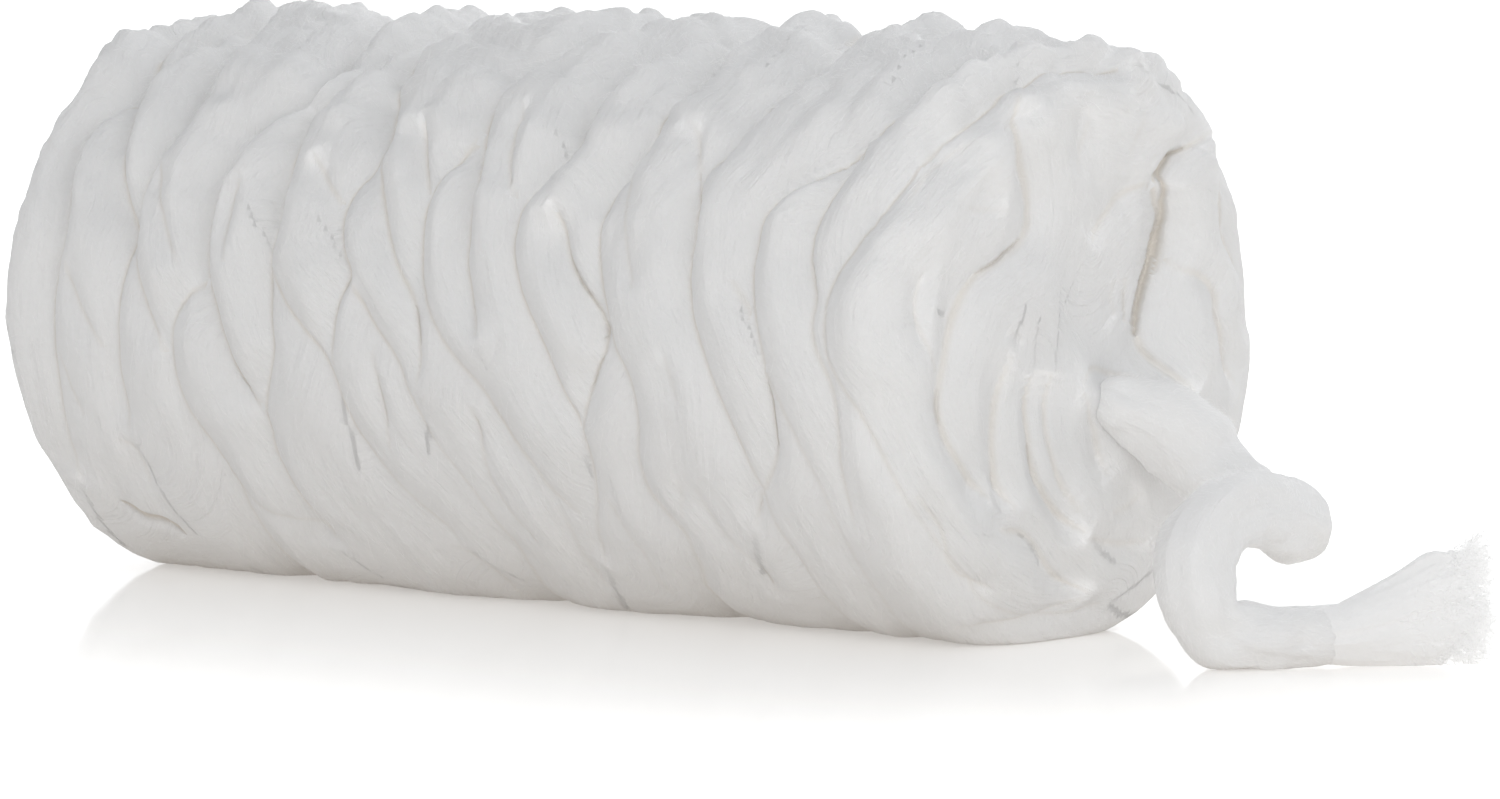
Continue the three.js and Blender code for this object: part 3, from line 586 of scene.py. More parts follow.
PUFF_MEAN = 2.0
PUFF_LEAST, PUFF_TOP, TOP_POWER = 0.10, 0.9, 1.6
# height, length, width and shift of each layer of ridges along a band
BUNDLES = ((0.65, 60, 8, 3), (0.40, 38, 4, 7), (0.16, 24, 2.2, 5))
FLOOR_SOFTNESS, FLOOR_SINK, LEAST_HEIGHT = 1.2, 0.05, 0.02


def root_collar(places):
    """How far the face is drawn up around the loose end's root."""
    route = settled_route()[:4]
    distance = np.full(len(places), np.inf)
    for first, last in zip(route[:-1], route[1:]):
        along = np.clip((places - first) @ (last - first) / ((last - first) @ (last - first)), 0, 1)
        gap = np.linalg.norm(places - first - along[:, None] * (last - first), axis=1)
        distance = np.minimum(distance, gap)
    past = np.maximum(distance - ROOT_RADIUS, 0)
    return COLLAR_RISE * np.exp(-((past / COLLAR_REACH) ** 2))


def looseness(places):
    """How loose the turns lie: more so on the top and at the left than low down and at the right."""
    rise = np.clip((places[:, 2] - AXIS_HEIGHT) / ROLL_RADIUS, -0.6, 1)
    rightward = places[:, 0] / HALF_LENGTH * -np.tanh(places[:, 1] / 25)
    return 1 + LOOSE_TOP * rise - LOOSE_LEFT * rightward


def bordered(lines, places, normals):
    """What the borders do to each place: its groove and step, its shading and the band that it belongs to."""
    count = len(places)
    groove, steps, crease = (np.zeros(count) for _ in range(3))
    cost, second, owner = np.full(count, NO_OWNER_COST), np.full(count, NO_OWNER_COST), np.full(count, -1)
    least, border, calm = np.full(count, np.inf), np.full(count, 0), np.ones(count)
    along, across, heading = np.zeros(count), np.zeros(count), np.zeros((count, 3))
    wander = 1 + WANDER * noise(*(places / WANDER_SIZE).T)
    loose = looseness(places)
    for index, line in enumerate(lines):
        close = close_to(line, places, OWNER_REACH if line["owns"] else 1.3 * LOWER_REACH)
        run, side, nearest = beside(line, places[close], normals[close])
        distance = np.abs(side)
        reach = np.where(side > 0, UPPER_REACH, LOWER_REACH) * (1 if line["owns"] else CREASE_SHARE)
        depth = line["depth"][nearest] * DEPTH_SHARE
        if line["on_side"]:
            depth = depth * loose[close]
        if line["far_face"]:
            depth = depth * np.clip((np.abs(places[close, 0]) - HALF_LENGTH) / RIM_RADIUS + 1.3, 0, 1)
        softened = np.sqrt((distance * wander[close]) ** 2 + line["bottom"] ** 2) - line["bottom"]
        fall = np.clip(1 - softened / reach, 0, 1) ** ROUNDNESS
        groove[close] += (depth * fall) ** JOIN
        step = STEP * depth / STEP_DEPTH * np.tanh(side / STEP_WIDTH)
        steps[close] += step * np.exp(-distance / STEP_REACH)
        shade = depth / CREASE_DEPTH * np.exp(-((distance / CREASE_WIDTH) ** 2))
        crease[close] = np.maximum(crease[close], shade)
        nearer = distance < least[close]
        least[close[nearer]] = distance[nearer]
        border[close[nearer]] = index
        if not line["owns"]:
            continue
        price = np.where(side > 0, side, WRONG_SIDE_COST - side)
        better = price < cost[close]
        chosen = close[better]
        second[close] = np.minimum(second[close], np.maximum(price, cost[close]))
        cost[chosen], owner[chosen] = price[better], index
        along[chosen], across[chosen] = run[better], side[better]
        heading[chosen] = line["heading"][nearest[better]]
        # past a border's end nothing parts the bands on its two sides
        gap = places[close] - line["foot"][nearest]
        aside = np.einsum("ij,ij->i", gap, np.cross(normals[close], line["heading"][nearest]))
        past_end = (run <= 0) | (run >= line["reach"][-1])
        calm[close] = np.where(past_end, np.minimum(calm[close], np.abs(aside) / CALM_REACH), calm[close])
    ridges = 0
    for height, length, width, shift in BUNDLES:
        ridges = ridges + height * noise(along / length, across / width, owner * shift)
    within = np.clip((second - cost) / BETWEEN_BANDS, 0, 1) * calm
    return {
        "relief": steps - groove ** (1 / JOIN), "ridges": ridges * within, "crease": np.clip(crease, 0, 1),
        "owner": owner, "border": border, "heading": heading,
    }


def slit_open(slits, places, normals):
    """How far the slits open the surface, and how strongly painted shade darkens them."""
    dark, opened = np.zeros(len(places)), np.zeros(len(places))
    for line in slits:
        close = close_to(line, places, 3 * SLIT_SPREAD)
        _, side, nearest = slit_ratio(line, places[close], normals[close])
        depth = line["depth"][nearest]
        spread, wide = SLIT_SPREAD * line["bottom"], max(line["bottom"], LEAST_SLIT)
        dark[close] = np.maximum(dark[close], depth * np.exp(-((side / spread) ** 2)))
        opened[close] = np.maximum(opened[close], SLIT_OPENING * depth * np.exp(-((side / wide) ** 2)))
    return opened, np.clip(dark / SLIT_DEPTH, 0, 1)


def soft_lumps(places):
    topness = np.clip((places[:, 2] - AXIS_HEIGHT) / ROLL_RADIUS, 0, 1) ** TOP_POWER
    lumps = sum(rise * noise(*(places / size + shift).T) for rise, size, shift in LUMPS)
    puffs = sum(rise * np.abs(noise(*(places / size + shift).T)) for rise, size, shift in PUFFS) - PUFF_MEAN
    return lumps + puffs * (PUFF_LEAST + PUFF_TOP * topness)


def raised_roll(coarser):
    """The roll's surface: its places and what each of them knows of the borders beside it."""
    grid, grid_normals = plain_roll(coarser)
    places, normals = grid.reshape(-1, 3), grid_normals.reshape(-1, 3)
    lines, slits = border_lines(), slit_lines()
    surface = bordered(lines, places, normals)
    opened, dark = slit_open(slits, places, normals)
    height = face_form(places) + surface["relief"] - opened
    height = height + root_collar(places + normals * height[:, None])
    height = height + soft_lumps(places) + surface["ridges"] * (1 - surface["crease"])
    raised = places + normals * height[:, None]
    raised[:, 2] = 0.5 * (raised[:, 2] + np.sqrt(raised[:, 2] ** 2 + FLOOR_SOFTNESS**2)) - FLOOR_SINK
    raised[:, 2] = np.maximum(raised[:, 2], LEAST_HEIGHT)
    low, high = TOP_BAND
    return {
        **surface, "grid": raised.reshape(grid.shape), "plain": places, "plain_normals": normals,
        "lines": lines, "slits": slits, "slit": dark,
        "low": 1 - np.clip((places[:, 2] - AXIS_HEIGHT - low) / (high - low), 0, 1),
    }


# Meshes

FAR_OFF = 99.0
LINE_END = 0.1
LEAST_FREE_HEIGHT = 0.3


def new_object(name, content):
    piece = bpy.data.objects.new(name, content)
    bpy.context.scene.collection.objects.link(piece)
    return piece


def ring_quads(rings, around, first=0):
    """Quads between rings of places, which turn to the left as they go along."""
    ring = first + np.arange(rings - 1)[:, None] * around
    column = np.arange(around)[None, :]
    following = (column + 1) % around
    quads = np.stack([ring + column, ring + around + column, ring + around + following, ring + following], 2)
    return quads.reshape(-1, 4)


def smooth_mesh(name, places, faces, material):
    mesh = bpy.data.meshes.new(name)
    mesh.from_pydata((places * MM).tolist(), [], faces)
    mesh.polygons.foreach_set("use_smooth", np.ones(len(mesh.polygons), bool))
    mesh.materials.append(material)
    return mesh


def closed_mesh(name, grid, material, inward):
    """Rings closed around a middle place at each end; inward is for rings that turn to the right."""
    rings, around = grid.shape[:2]
    quads = ring_quads(rings, around)
    column = np.arange(around)
    following = (column + 1) % around
    centre, base = rings * around, (rings - 1) * around
    start = np.stack([np.full(around, centre), column, following], 1)
    end = np.stack([np.full(around, centre + 1), base + following, base + column], 1)
    if inward:
        quads, start, end = quads[:, [0, 3, 2, 1]], start[:, [0, 2, 1]], end[:, [0, 2, 1]]
    places = np.concatenate([grid.reshape(-1, 3), [grid[0].mean(0), grid[-1].mean(0)]])
    return smooth_mesh(name, places, quads.tolist() + start.tolist() + end.tolist(), material), quads


def set_values(mesh, name, kind, domain, values, size, fill=0.0):
    """Writes an attribute or the map of the fibres, and fills what the values don't reach."""
    full = np.full(size, fill)
    full[:values.size] = values.reshape(-1)
    if kind == "UV":
        mesh.uv_layers.new(name=name).data.foreach_set("uv", full)
    else:
        field = "vector" if kind == "FLOAT_VECTOR" else "value"
        mesh.attributes.new(name, kind, domain).data.foreach_set(field, full)


def roll_piece(name, surface, material):
    """The roll as one closed mesh, with what its materials and fibres read."""
    mesh, quads = closed_mesh(name, surface["grid"], material, True)
    plain, normals = surface["plain"], surface["plain_normals"]
    # for each corner: its place along and across its band, and its distance from the nearest border
    band_places = np.zeros((len(quads), 4, 2))
    sides = {"border": np.full((len(quads), 4), FAR_OFF), "gap": np.full((len(quads), 4), FAR_OFF)}
    for index, line in enumerate(surface["lines"]):
        for kind in ("owner", "border"):
            own = np.flatnonzero(surface[kind][quads[:, 0]] == index)
            if len(own) == 0:
                continue
            ids = quads[own].reshape(-1)
            along, across, _ = beside(line, plain[ids], normals[ids])
            if kind == "owner":
                band_places[own, :, 0] = (along / 100 + index * 3.7).reshape(-1, 4)
                band_places[own, :, 1] = (across / 100 + index * 1.3).reshape(-1, 4)
            else:
                past_end = (along < LINE_END) | (along > line["reach"][-1] - LINE_END)
                past_end = past_end.reshape(-1, 4).any(1)
                sides["border"][own] = np.where(past_end[:, None], FAR_OFF, across.reshape(-1, 4))
    for line in surface["slits"]:
        own = close_to(line, plain[quads[:, 0]], 4 * SLIT_SPREAD)
        if len(own) == 0:
            continue
        ids = quads[own].reshape(-1)
        ratio = slit_ratio(line, plain[ids], normals[ids])[0].reshape(-1, 4)
        nearer = np.abs(ratio).min(1) < np.abs(sides["gap"][own]).min(1)
        sides["gap"][own[nearer]] = ratio[nearer]
    corners, count = len(mesh.loops), len(mesh.vertices)
    set_values(mesh, "fibre", "UV", "CORNER", band_places, 2 * corners)
    for title, values in sides.items():
        set_values(mesh, title, "FLOAT", "CORNER", values, corners, FAR_OFF)
    for title in ("crease", "slit", "low"):
        set_values(mesh, title, "FLOAT", "POINT", surface[title], count)
    set_values(mesh, "heading", "FLOAT_VECTOR", "POINT", surface["heading"], 3 * count)
    return new_object(name, mesh)


def tube_corners(run, turn, girth, shift=0.0):
    """The fibres' map on a tube: millimetres along it and around it, in hundreds."""
    low, high = np.repeat(run[:-1], len(turn)), np.repeat(run[1:], len(turn))
    left = np.tile(turn, len(run) - 1) * girth
    right = left + turn[1] * girth
    corners = [np.stack([u, v], 1) for u, v in ((low, left), (high, left), (high, right), (low, right))]
    return np.stack(corners, 1) / 100 + shift


def tubes_object(name, parts, material):
    """Many closed tubes as one mesh."""
    places, faces, corners, headings, first = [], [], [], [], 0
    for index, (grid, run, turn, heading) in enumerate(parts):
        rings, around = grid.shape[:2]
        last = first + (rings - 1) * around
        faces += ring_quads(rings, around, first).tolist()
        faces += [[first + j for j in range(around)], [last + j for j in range(around)][::-1]]
        corners += [tube_corners(run, turn, 3, index * 0.37).reshape(-1), np.zeros(4 * around)]
        places.append(grid.reshape(-1, 3))
        headings.append(np.repeat(heading, around, axis=0))
        first += rings * around
    mesh = smooth_mesh(name, np.concatenate(places), faces, material)
    set_values(mesh, "fibre", "UV", "CORNER", np.concatenate(corners), 2 * len(mesh.loops))
    set_values(mesh, "heading", "FLOAT_VECTOR", "POINT", np.concatenate(headings), 3 * len(mesh.vertices))
    return new_object(name, mesh)


# The loose end

SQUEEZE = 0.9
BEND_PASSES = 40
CORD_RINGS, CORD_AROUND = 190, 56
CORD_GIRTH = 9.0
CORD_TWIST = 1.2  # degrees for each millimetre
EVEN_END = 14
CORD_RADII = (
    # share of the length, radius
    (0, 0.6), (0.004, 3.4), (0.01, 5.4), (0.02, 7.2), (0.035, 8.6), (0.05, 9.4), (0.075, 10.6), (0.11, 11.7),
    (0.15, 11.6), (0.19, 10.4), (0.24, 8.8), (0.3, 9.0), (0.36, 10.0), (0.5, 10.6), (0.6, 10.2), (0.7, 10.2),
    (0.78, 10.2), (0.86, 9.4), (0.93, 8.7), (0.96, 8.3), (0.985, 8.0), (0.995, 7.4), (1, 6.0),
)
CORD_LUMPS = (
    # height, length, bumps for each radian, whether they follow the twist, shift
    (1.6, 13, 1.0, False, 3),
    (1.4, 7, 1.8, False, 6),
    (0.6, 30, 2.86, True, 9),
    (0.3, 20, 7.04, True, 15),
)


def loose_end(material):
    """The cord along its route, and the route itself."""
    path = smooth_line(settled_route(), CORD_RINGS)
    heading = unit(np.gradient(path, axis=0))
    side = np.zeros_like(path)
    side[0] = unit(np.cross(heading[0], [0, 0, 1.0]))
    for i in range(1, len(path)):
        side[i] = unit(side[i - 1] - heading[i] * (side[i - 1] @ heading[i]))
    upward = np.cross(side, heading)
    turn = np.linspace(0, 2 * math.pi, CORD_AROUND, endpoint=False)
    run = np.concatenate([[0], np.cumsum(np.linalg.norm(np.diff(path, axis=0), axis=1))])
    plain, twisted = turn[None, :], turn[None, :] + np.radians(CORD_TWIST) * run[:, None]
    lumps = 0
    for height, length, count, follows, shift in CORD_LUMPS:
        angle = twisted if follows else plain
        x, y = np.cos(angle) * count, np.sin(angle) * count + shift
        lumps = lumps + height * noise(run[:, None] / length, x, y)
    # the lumps die away where the frayed tip takes over
    uneven = np.clip((run[-1] - run[:, None]) / EVEN_END, 0, 1)
    radius = np.interp(np.linspace(0, 1, CORD_RINGS), *np.array(CORD_RADII).T)[:, None] + uneven * lumps
    outward = np.cos(turn)[None, :, None] * side[:, None] + np.sin(turn)[None, :, None] * upward[:, None]
    # the inside of a tight bend is squeezed, so that it doesn't fold through itself
    bend = np.gradient(heading, axis=0) / np.gradient(run)[:, None]
    for _ in range(BEND_PASSES):
        bend = np.concatenate([bend[:1], (bend[:-2] + bend[1:-1] + bend[2:]) / 3, bend[-1:]])
    limit = SQUEEZE / np.maximum((outward * bend[:, None]).sum(2), 1e-6)
    radius = (radius**-4 + limit**-4) ** -0.25
    grid = path[:, None] + radius[..., None] * outward
    grid[..., 2] = np.maximum(grid[..., 2], LEAST_FREE_HEIGHT)
    mesh, _ = closed_mesh("loose_end_sliver", grid, material, False)
    headings = np.concatenate([np.repeat(heading, CORD_AROUND, axis=0), heading[:1], heading[-1:]])
    set_values(mesh, "fibre", "UV", "CORNER", tube_corners(run, turn, CORD_GIRTH), 2 * len(mesh.loops))
    set_values(mesh, "heading", "FLOAT_VECTOR", "POINT", headings, headings.size)
    return new_object("loose_end_sliver", mesh), path


# The frayed tip: a soft fan with ragged wisps at its end

FAN_LENGTH = 36.0
FAN_START = -0.3  # the fan begins inside the cord
FAN_RINGS, FAN_AROUND = 70, 96
FAN_MIDDLE, FAN_HEIGHT, FAN_THICKNESS = (9.1, 8.8), (8.4, 9.1), (8.3, -2.9)  # at the start, and the change
MIDDLE_POWER = 1.1
HIDDEN_DEPTH, HIDDEN_POWER = 1.4, 1.5  # how far the fan's start is drawn in under the cord
FAN_ROUNDING = 0.72  # share of the length where the far end begins to close
FAN_RAGGED = ((0.14, 2.4, 7), (0.09, 6, 3))  # height, bumps for each radian, shift
FAN_RIDGES = ((0.9, 1.6, 4, 20), (0.5, 2.4, 9, 40))  # height, bumps along, bumps for each radian, shift
FAN_RIDGE_SHARE = 0.13
FAN_RISE = 22  # degrees from the floor to the middle line of its upper edge
WISPS = 2700
WISP_SHARE, WISP_CROWDING = 0.65, 1.5  # the share of the fan that they stand on, denser towards its end
WISP_LENGTH = 8.0
WISP_SIZES = (0.6, 1.0)
WISP_WAVE = 4.0
WISP_RADII = (0.03, 0.10)
WISP_TURNS, WISP_TILTS = 14, 7
WISP_AROUND, WISP_RINGS = 3, 8


def tip_axes():
    end, before = (np.asarray(p, float) for p in (CORD_ROUTE[-1], CORD_ROUTE[-2]))
    ahead = unit((end - before) * np.array([1, 1, 0]))
    return end, ahead, np.cross([0, 0, 1.0], ahead), np.array([0, 0, 1.0])


def fan_section(share):
    """Middle height, half height and half thickness of the fan at a share of its length."""
    spread = np.maximum(share, 0)
    hidden = HIDDEN_DEPTH * (np.minimum(share, 0) / FAN_START) ** HIDDEN_POWER
    middle = FAN_MIDDLE[0] + FAN_MIDDLE[1] * spread**MIDDLE_POWER
    tall = FAN_HEIGHT[0] + FAN_HEIGHT[1] * spread - hidden
    return middle, tall, FAN_THICKNESS[0] + FAN_THICKNESS[1] * spread - hidden


def fan(material):
    end, ahead, aside, up = tip_axes()
    share = np.linspace(FAN_START, 1, FAN_RINGS)
    turn = np.linspace(0, 2 * math.pi, FAN_AROUND, endpoint=False)
    middle, tall, thick = fan_section(share)
    around_x, around_y = np.cos(turn)[None, :], np.sin(turn)[None, :]
    (coarse, wide, first), (fine, narrow, second) = FAN_RAGGED
    ragged = 1 + coarse * noise(around_x * wide, around_y * wide, first) + fine * noise(
        around_x * narrow, around_y * narrow, second)
    closing = np.clip((share - FAN_ROUNDING) / (1 - FAN_ROUNDING), 0, 1) ** 2.6
    round_off = np.sqrt(np.clip(1 - closing, 0.0005, 1))[:, None]
    ridges = 0
    for height, along, count, shift in FAN_RIDGES:
        ridges = ridges + height * noise(share[:, None] * along, around_x * count, around_y * count + shift)
    swell = round_off * (1 + FAN_RIDGE_SHARE * ridges * np.clip(share + 0.35, 0, 1)[:, None])
    grid = (
        end + ahead * (share[:, None] * FAN_LENGTH * ragged)[..., None]
        + aside * (around_x * thick[:, None] * swell)[..., None]
        + up * ((middle - end[2])[:, None] + around_y * tall[:, None] * swell)[..., None]
    )
    grid[..., 2] = np.maximum(grid[..., 2], LEAST_FREE_HEIGHT)
    heading = np.tile(ahead, (FAN_RINGS, 1))
    return tubes_object("frayed_fan", [(grid, (share - FAN_START) * FAN_LENGTH, turn, heading)], material)


def wisp(root, direction, length, radius, seed):
    """One thin tapering lock, as the rings of a tube."""
    share = np.linspace(0, 1, WISP_RINGS)
    path = root + direction * (share * length)[:, None]
    wave = np.stack([noise(share * 2.2, seed, k * 5.0 + 1) for k in range(3)], 1)
    path = path + WISP_WAVE * share[:, None] * wave
    heading = unit(np.gradient(path, axis=0))
    side = unit(np.cross(heading, [0, 0, 1.0]))
    upward = np.cross(side, heading)
    turn = np.linspace(0, 2 * math.pi, WISP_AROUND, endpoint=False)
    thick = radius * (1 - share**2.0) ** 0.8 + 0.03
    grid = path[:, None] + thick[:, None, None] * (
        np.cos(turn)[None, :, None] * side[:, None] + np.sin(turn)[None, :, None] * upward[:, None]
    )
    grid[..., 2] = np.maximum(grid[..., 2], LEAST_FREE_HEIGHT)
    return grid, share * length, turn, heading


def wisps(material):
    rng = np.random.default_rng(SEED + 2)
    end, ahead, aside, up = tip_axes()
    parts = []
    for _ in range(WISPS):
        share = 1 - WISP_SHARE * rng.uniform(0, 1) ** WISP_CROWDING
        middle, tall, thick = fan_section(share)
        turn = rng.uniform(0, 2 * math.pi)
        out = math.sqrt(rng.uniform(0.1, 0.9))
        high = math.sin(turn) * tall * out
        root = end + ahead * share * FAN_LENGTH + aside * math.cos(turn) * thick * out
        root[2] = middle + high
        tilt = math.radians(FAN_RISE * (0.35 + high / 16) * share + rng.uniform(-WISP_TILTS, WISP_TILTS))
        swing = math.radians(rng.uniform(-WISP_TURNS, WISP_TURNS))
        flat = ahead * math.cos(swing) + aside * math.sin(swing)
        direction = flat * math.cos(tilt) + up * math.sin(tilt)
        length = WISP_LENGTH * rng.uniform(*WISP_SIZES)
        parts.append(wisp(root, direction, length, rng.uniform(*WISP_RADII), int(rng.integers(500))))
    return tubes_object("frayed_wisps", parts, material)


# Nodes


def feed(tree, socket, value):
    """Links a socket to another one, or sets its value."""
    if isinstance(value, bpy.types.NodeSocket):
        tree.links.new(value, socket)
    elif value is not None:
        socket.default_value = value


def add_node(tree, kind, inputs=None, **settings):
    node = tree.nodes.new(kind)
    for name, value in settings.items():
        setattr(node, name, value)
    set_inputs(tree, node, inputs or {})
    return node


def set_inputs(tree, node, inputs):
    for title, value in inputs.items():
        feed(tree, node.inputs[title], value)


def math_node(tree, operation, first, second=None):
    return add_node(tree, "ShaderNodeMath", {0: first, 1: second}, operation=operation).outputs[0]


def smooth_ramp(tree, value, low, high, start, end):
    limits = {"From Min": low, "From Max": high, "To Min": start, "To Max": end}
    ramp = add_node(tree, "ShaderNodeMapRange", {"Value": value, **limits}, interpolation_type="SMOOTHSTEP")
    return ramp.outputs["Result"]


def new_group(name, kind, inputs, outputs):
    """A node group with its named sockets: the tree, what it is given and what it puts out."""
    tree = bpy.data.node_groups.new(name, kind)
    for way, sockets in (("INPUT", inputs), ("OUTPUT", outputs)):
        for title, socket in sockets.items():
            tree.interface.new_socket(title, in_out=way, socket_type="NodeSocket" + socket)
    return tree, tree.nodes.new("NodeGroupInput").outputs, tree.nodes.new("NodeGroupOutput").inputs


def new_material(name):
    material = bpy.data.materials.new(name)
    material.use_nodes = True
    return material, material.node_tree, material.node_tree.nodes["Principled BSDF"]


# Materials

# the cotton's own white, and the painted shade that darkens the bottoms of the borders and of the slits
WHITE, CREASE_SHADE, SLIT_SHADE = (0.93, 0.93, 0.93, 1), (0.86, 0.83, 0.785, 1), (0.80, 0.75, 0.68, 1)
STREAKS = ((1.0, 3.0, 0.4), (0.33, 2.0, 0.8))  # scale, detail and distortion of each layer of fibres
FUZZ = {"Scale": 420, "Detail": 5.0, "Roughness": 0.7}
BORDER_WIDTH = 1.1
BORDER_FALL = 0.37
BORDER_BUMP, SLIT_BUMP = 0.5, 1.5


def fibre_group():
    """Fine streaks along the fibres, as a height."""
    given_sockets = {"Streak length": "Float", "Streak width": "Float"}
    tree, given, out = new_group("Cotton fibres", "ShaderNodeTree", given_sockets, {"Height": "Float"})
    uv = add_node(tree, "ShaderNodeUVMap", uv_map="fibre")
    sizes = {"X": given["Streak length"], "Y": given["Streak width"]}
    spacing = add_node(tree, "ShaderNodeCombineXYZ", sizes)
    places = {0: uv.outputs["UV"], 1: spacing.outputs["Vector"]}
    stretched = add_node(tree, "ShaderNodeVectorMath", places, operation="MULTIPLY").outputs["Vector"]
    heights = []
    for scale, detail, distortion in STREAKS:
        look = {"Vector": stretched, "Scale": scale, "Detail": detail, "Distortion": distortion}
        heights.append(add_node(tree, "ShaderNodeTexNoise", look).outputs["Fac"])
    feed(tree, out["Height"], math_node(tree, "ADD", *heights))
    return tree


def border_group():
    """How strongly a place lies in the narrow bottom of a border, from 0 to 1, and in an open slit."""
    masks = {"Border": "Float", "Slit": "Float"}
    tree, given, out = new_group("Band borders", "ShaderNodeTree", {"Width": "Float"}, masks)
    values = {
        name: add_node(tree, "ShaderNodeAttribute", attribute_name=name).outputs["Fac"]
        for name in ("border", "gap", "crease", "slit")
    }
    across = math_node(tree, "DIVIDE", values["border"], given["Width"])
    for side, strength, title in ((across, "crease", "Border"), (values["gap"], "slit", "Slit")):
        fall = math_node(tree, "POWER", BORDER_FALL, math_node(tree, "MULTIPLY", side, side))
        feed(tree, out[title], math_node(tree, "MULTIPLY", fall, values[strength]))
    return tree


def cotton_material(name, fibres, borders, length, width, bump, soft, glow):
    """Brushed cotton: soft is how far light wanders in it, in metres, and glow a painted glow that stands for
    the light that comes through it.
    """
    material, tree, shader = new_material(name)
    shader.subsurface_method = "BURLEY"
    streaks = add_node(tree, "ShaderNodeGroup", node_tree=fibres)
    set_inputs(tree, streaks, {"Streak length": length, "Streak width": width})
    edge = add_node(tree, "ShaderNodeGroup", node_tree=borders)
    edge.inputs["Width"].default_value = BORDER_WIDTH
    place = tree.nodes.new("ShaderNodeTexCoord").outputs["Object"]
    fuzz = add_node(tree, "ShaderNodeTexNoise", {"Vector": place, **FUZZ})
    height = math_node(tree, "MULTIPLY", streaks.outputs["Height"], bump)
    height = math_node(tree, "ADD", height, math_node(tree, "MULTIPLY", fuzz.outputs["Fac"], bump))
    colour = WHITE
    # the borders and slits are sunk by the bump and darkened with painted shade in their bottoms
    for title, depth, tone in (("Border", BORDER_BUMP, CREASE_SHADE), ("Slit", SLIT_BUMP, SLIT_SHADE)):
        mask = edge.outputs[title]
        height = math_node(tree, "SUBTRACT", height, math_node(tree, "MULTIPLY", mask, depth))
        painted_shade = add_node(tree, "ShaderNodeMix", {"Factor": mask}, data_type="RGBA")
        set_inputs(tree, painted_shade, {"A": colour, "B": tone})
        colour = painted_shade.outputs["Result"]
    relief = add_node(tree, "ShaderNodeBump", {"Distance": MM, "Height": height})
    # the emission is a painted glow
    set_inputs(tree, shader, {
        "Base Color": colour, "Roughness": 1.0, "Specular IOR Level": 0.1, "Normal": relief.outputs["Normal"],
        "Sheen Weight": 0.15, "Sheen Roughness": 0.6,
        "Emission Color": (1, 1, 1, 1), "Emission Strength": glow,
        "Subsurface Weight": 0.8, "Subsurface Radius": (1.0, 1.0, 1.0), "Subsurface Scale": soft,
    })
    return material


def thin_material(name, grey, glow):
    """Single fibres. glow stands for the light that comes through from behind them."""
    material, tree, shader = new_material(name)
    set_inputs(tree, shader, {
        "Base Color": (grey, grey, grey, 1), "Roughness": 1.0, "Specular IOR Level": 0.0,
        "Emission Color": (grey, grey, grey, 1), "Emission Strength": glow,
    })
    return material


# Loose fibres that stand off a surface, made by Geometry Nodes

FIBRE_ARC = {"Resolution": 3, "Start": (0, 0, -0.02), "Middle": (0.45, 0.12, 0.16), "End": (1.0, -0.06, 0.05)}
FIBRE_ROLL = 1.2
FIBRE_SIZES = {"Min": 0.45, "Max": 1.0}
FIBRES = (
    # piece, what it stands on, material, fibres for each square metre, length, thickness, lift and spread in
    # degrees, seed, whether only the top has them
    ("cord_fibres", "loose_end_sliver", "Wispy end", 600000, 3.0, 0.018, 40, 60, 1, 0.0),
    ("tip_fibres", "frayed_fan", "Wispy end", 900000, 5, 0.03, 26, 50, 2, 0.0),
    ("long_fibres", "wound_turns", "Loose fibres", 23000, 8, 0.022, 12, 24, 3, 0.0),
    ("fine_fibres", "wound_turns", "Loose fibres", 27000, 3.5, 0.022, 34, 70, 5, 0.0),
    ("top_fibres", "wound_turns", "Loose fibres", 240000, 4, 0.03, 50, 120, 6, 1.0),
)
LEAST_FIBRE_HEIGHT = 0.2


def named_value(tree, name, kind="FLOAT"):
    node = add_node(tree, "GeometryNodeInputNamedAttribute", {"Name": name}, data_type=kind)
    return node.outputs["Attribute"]


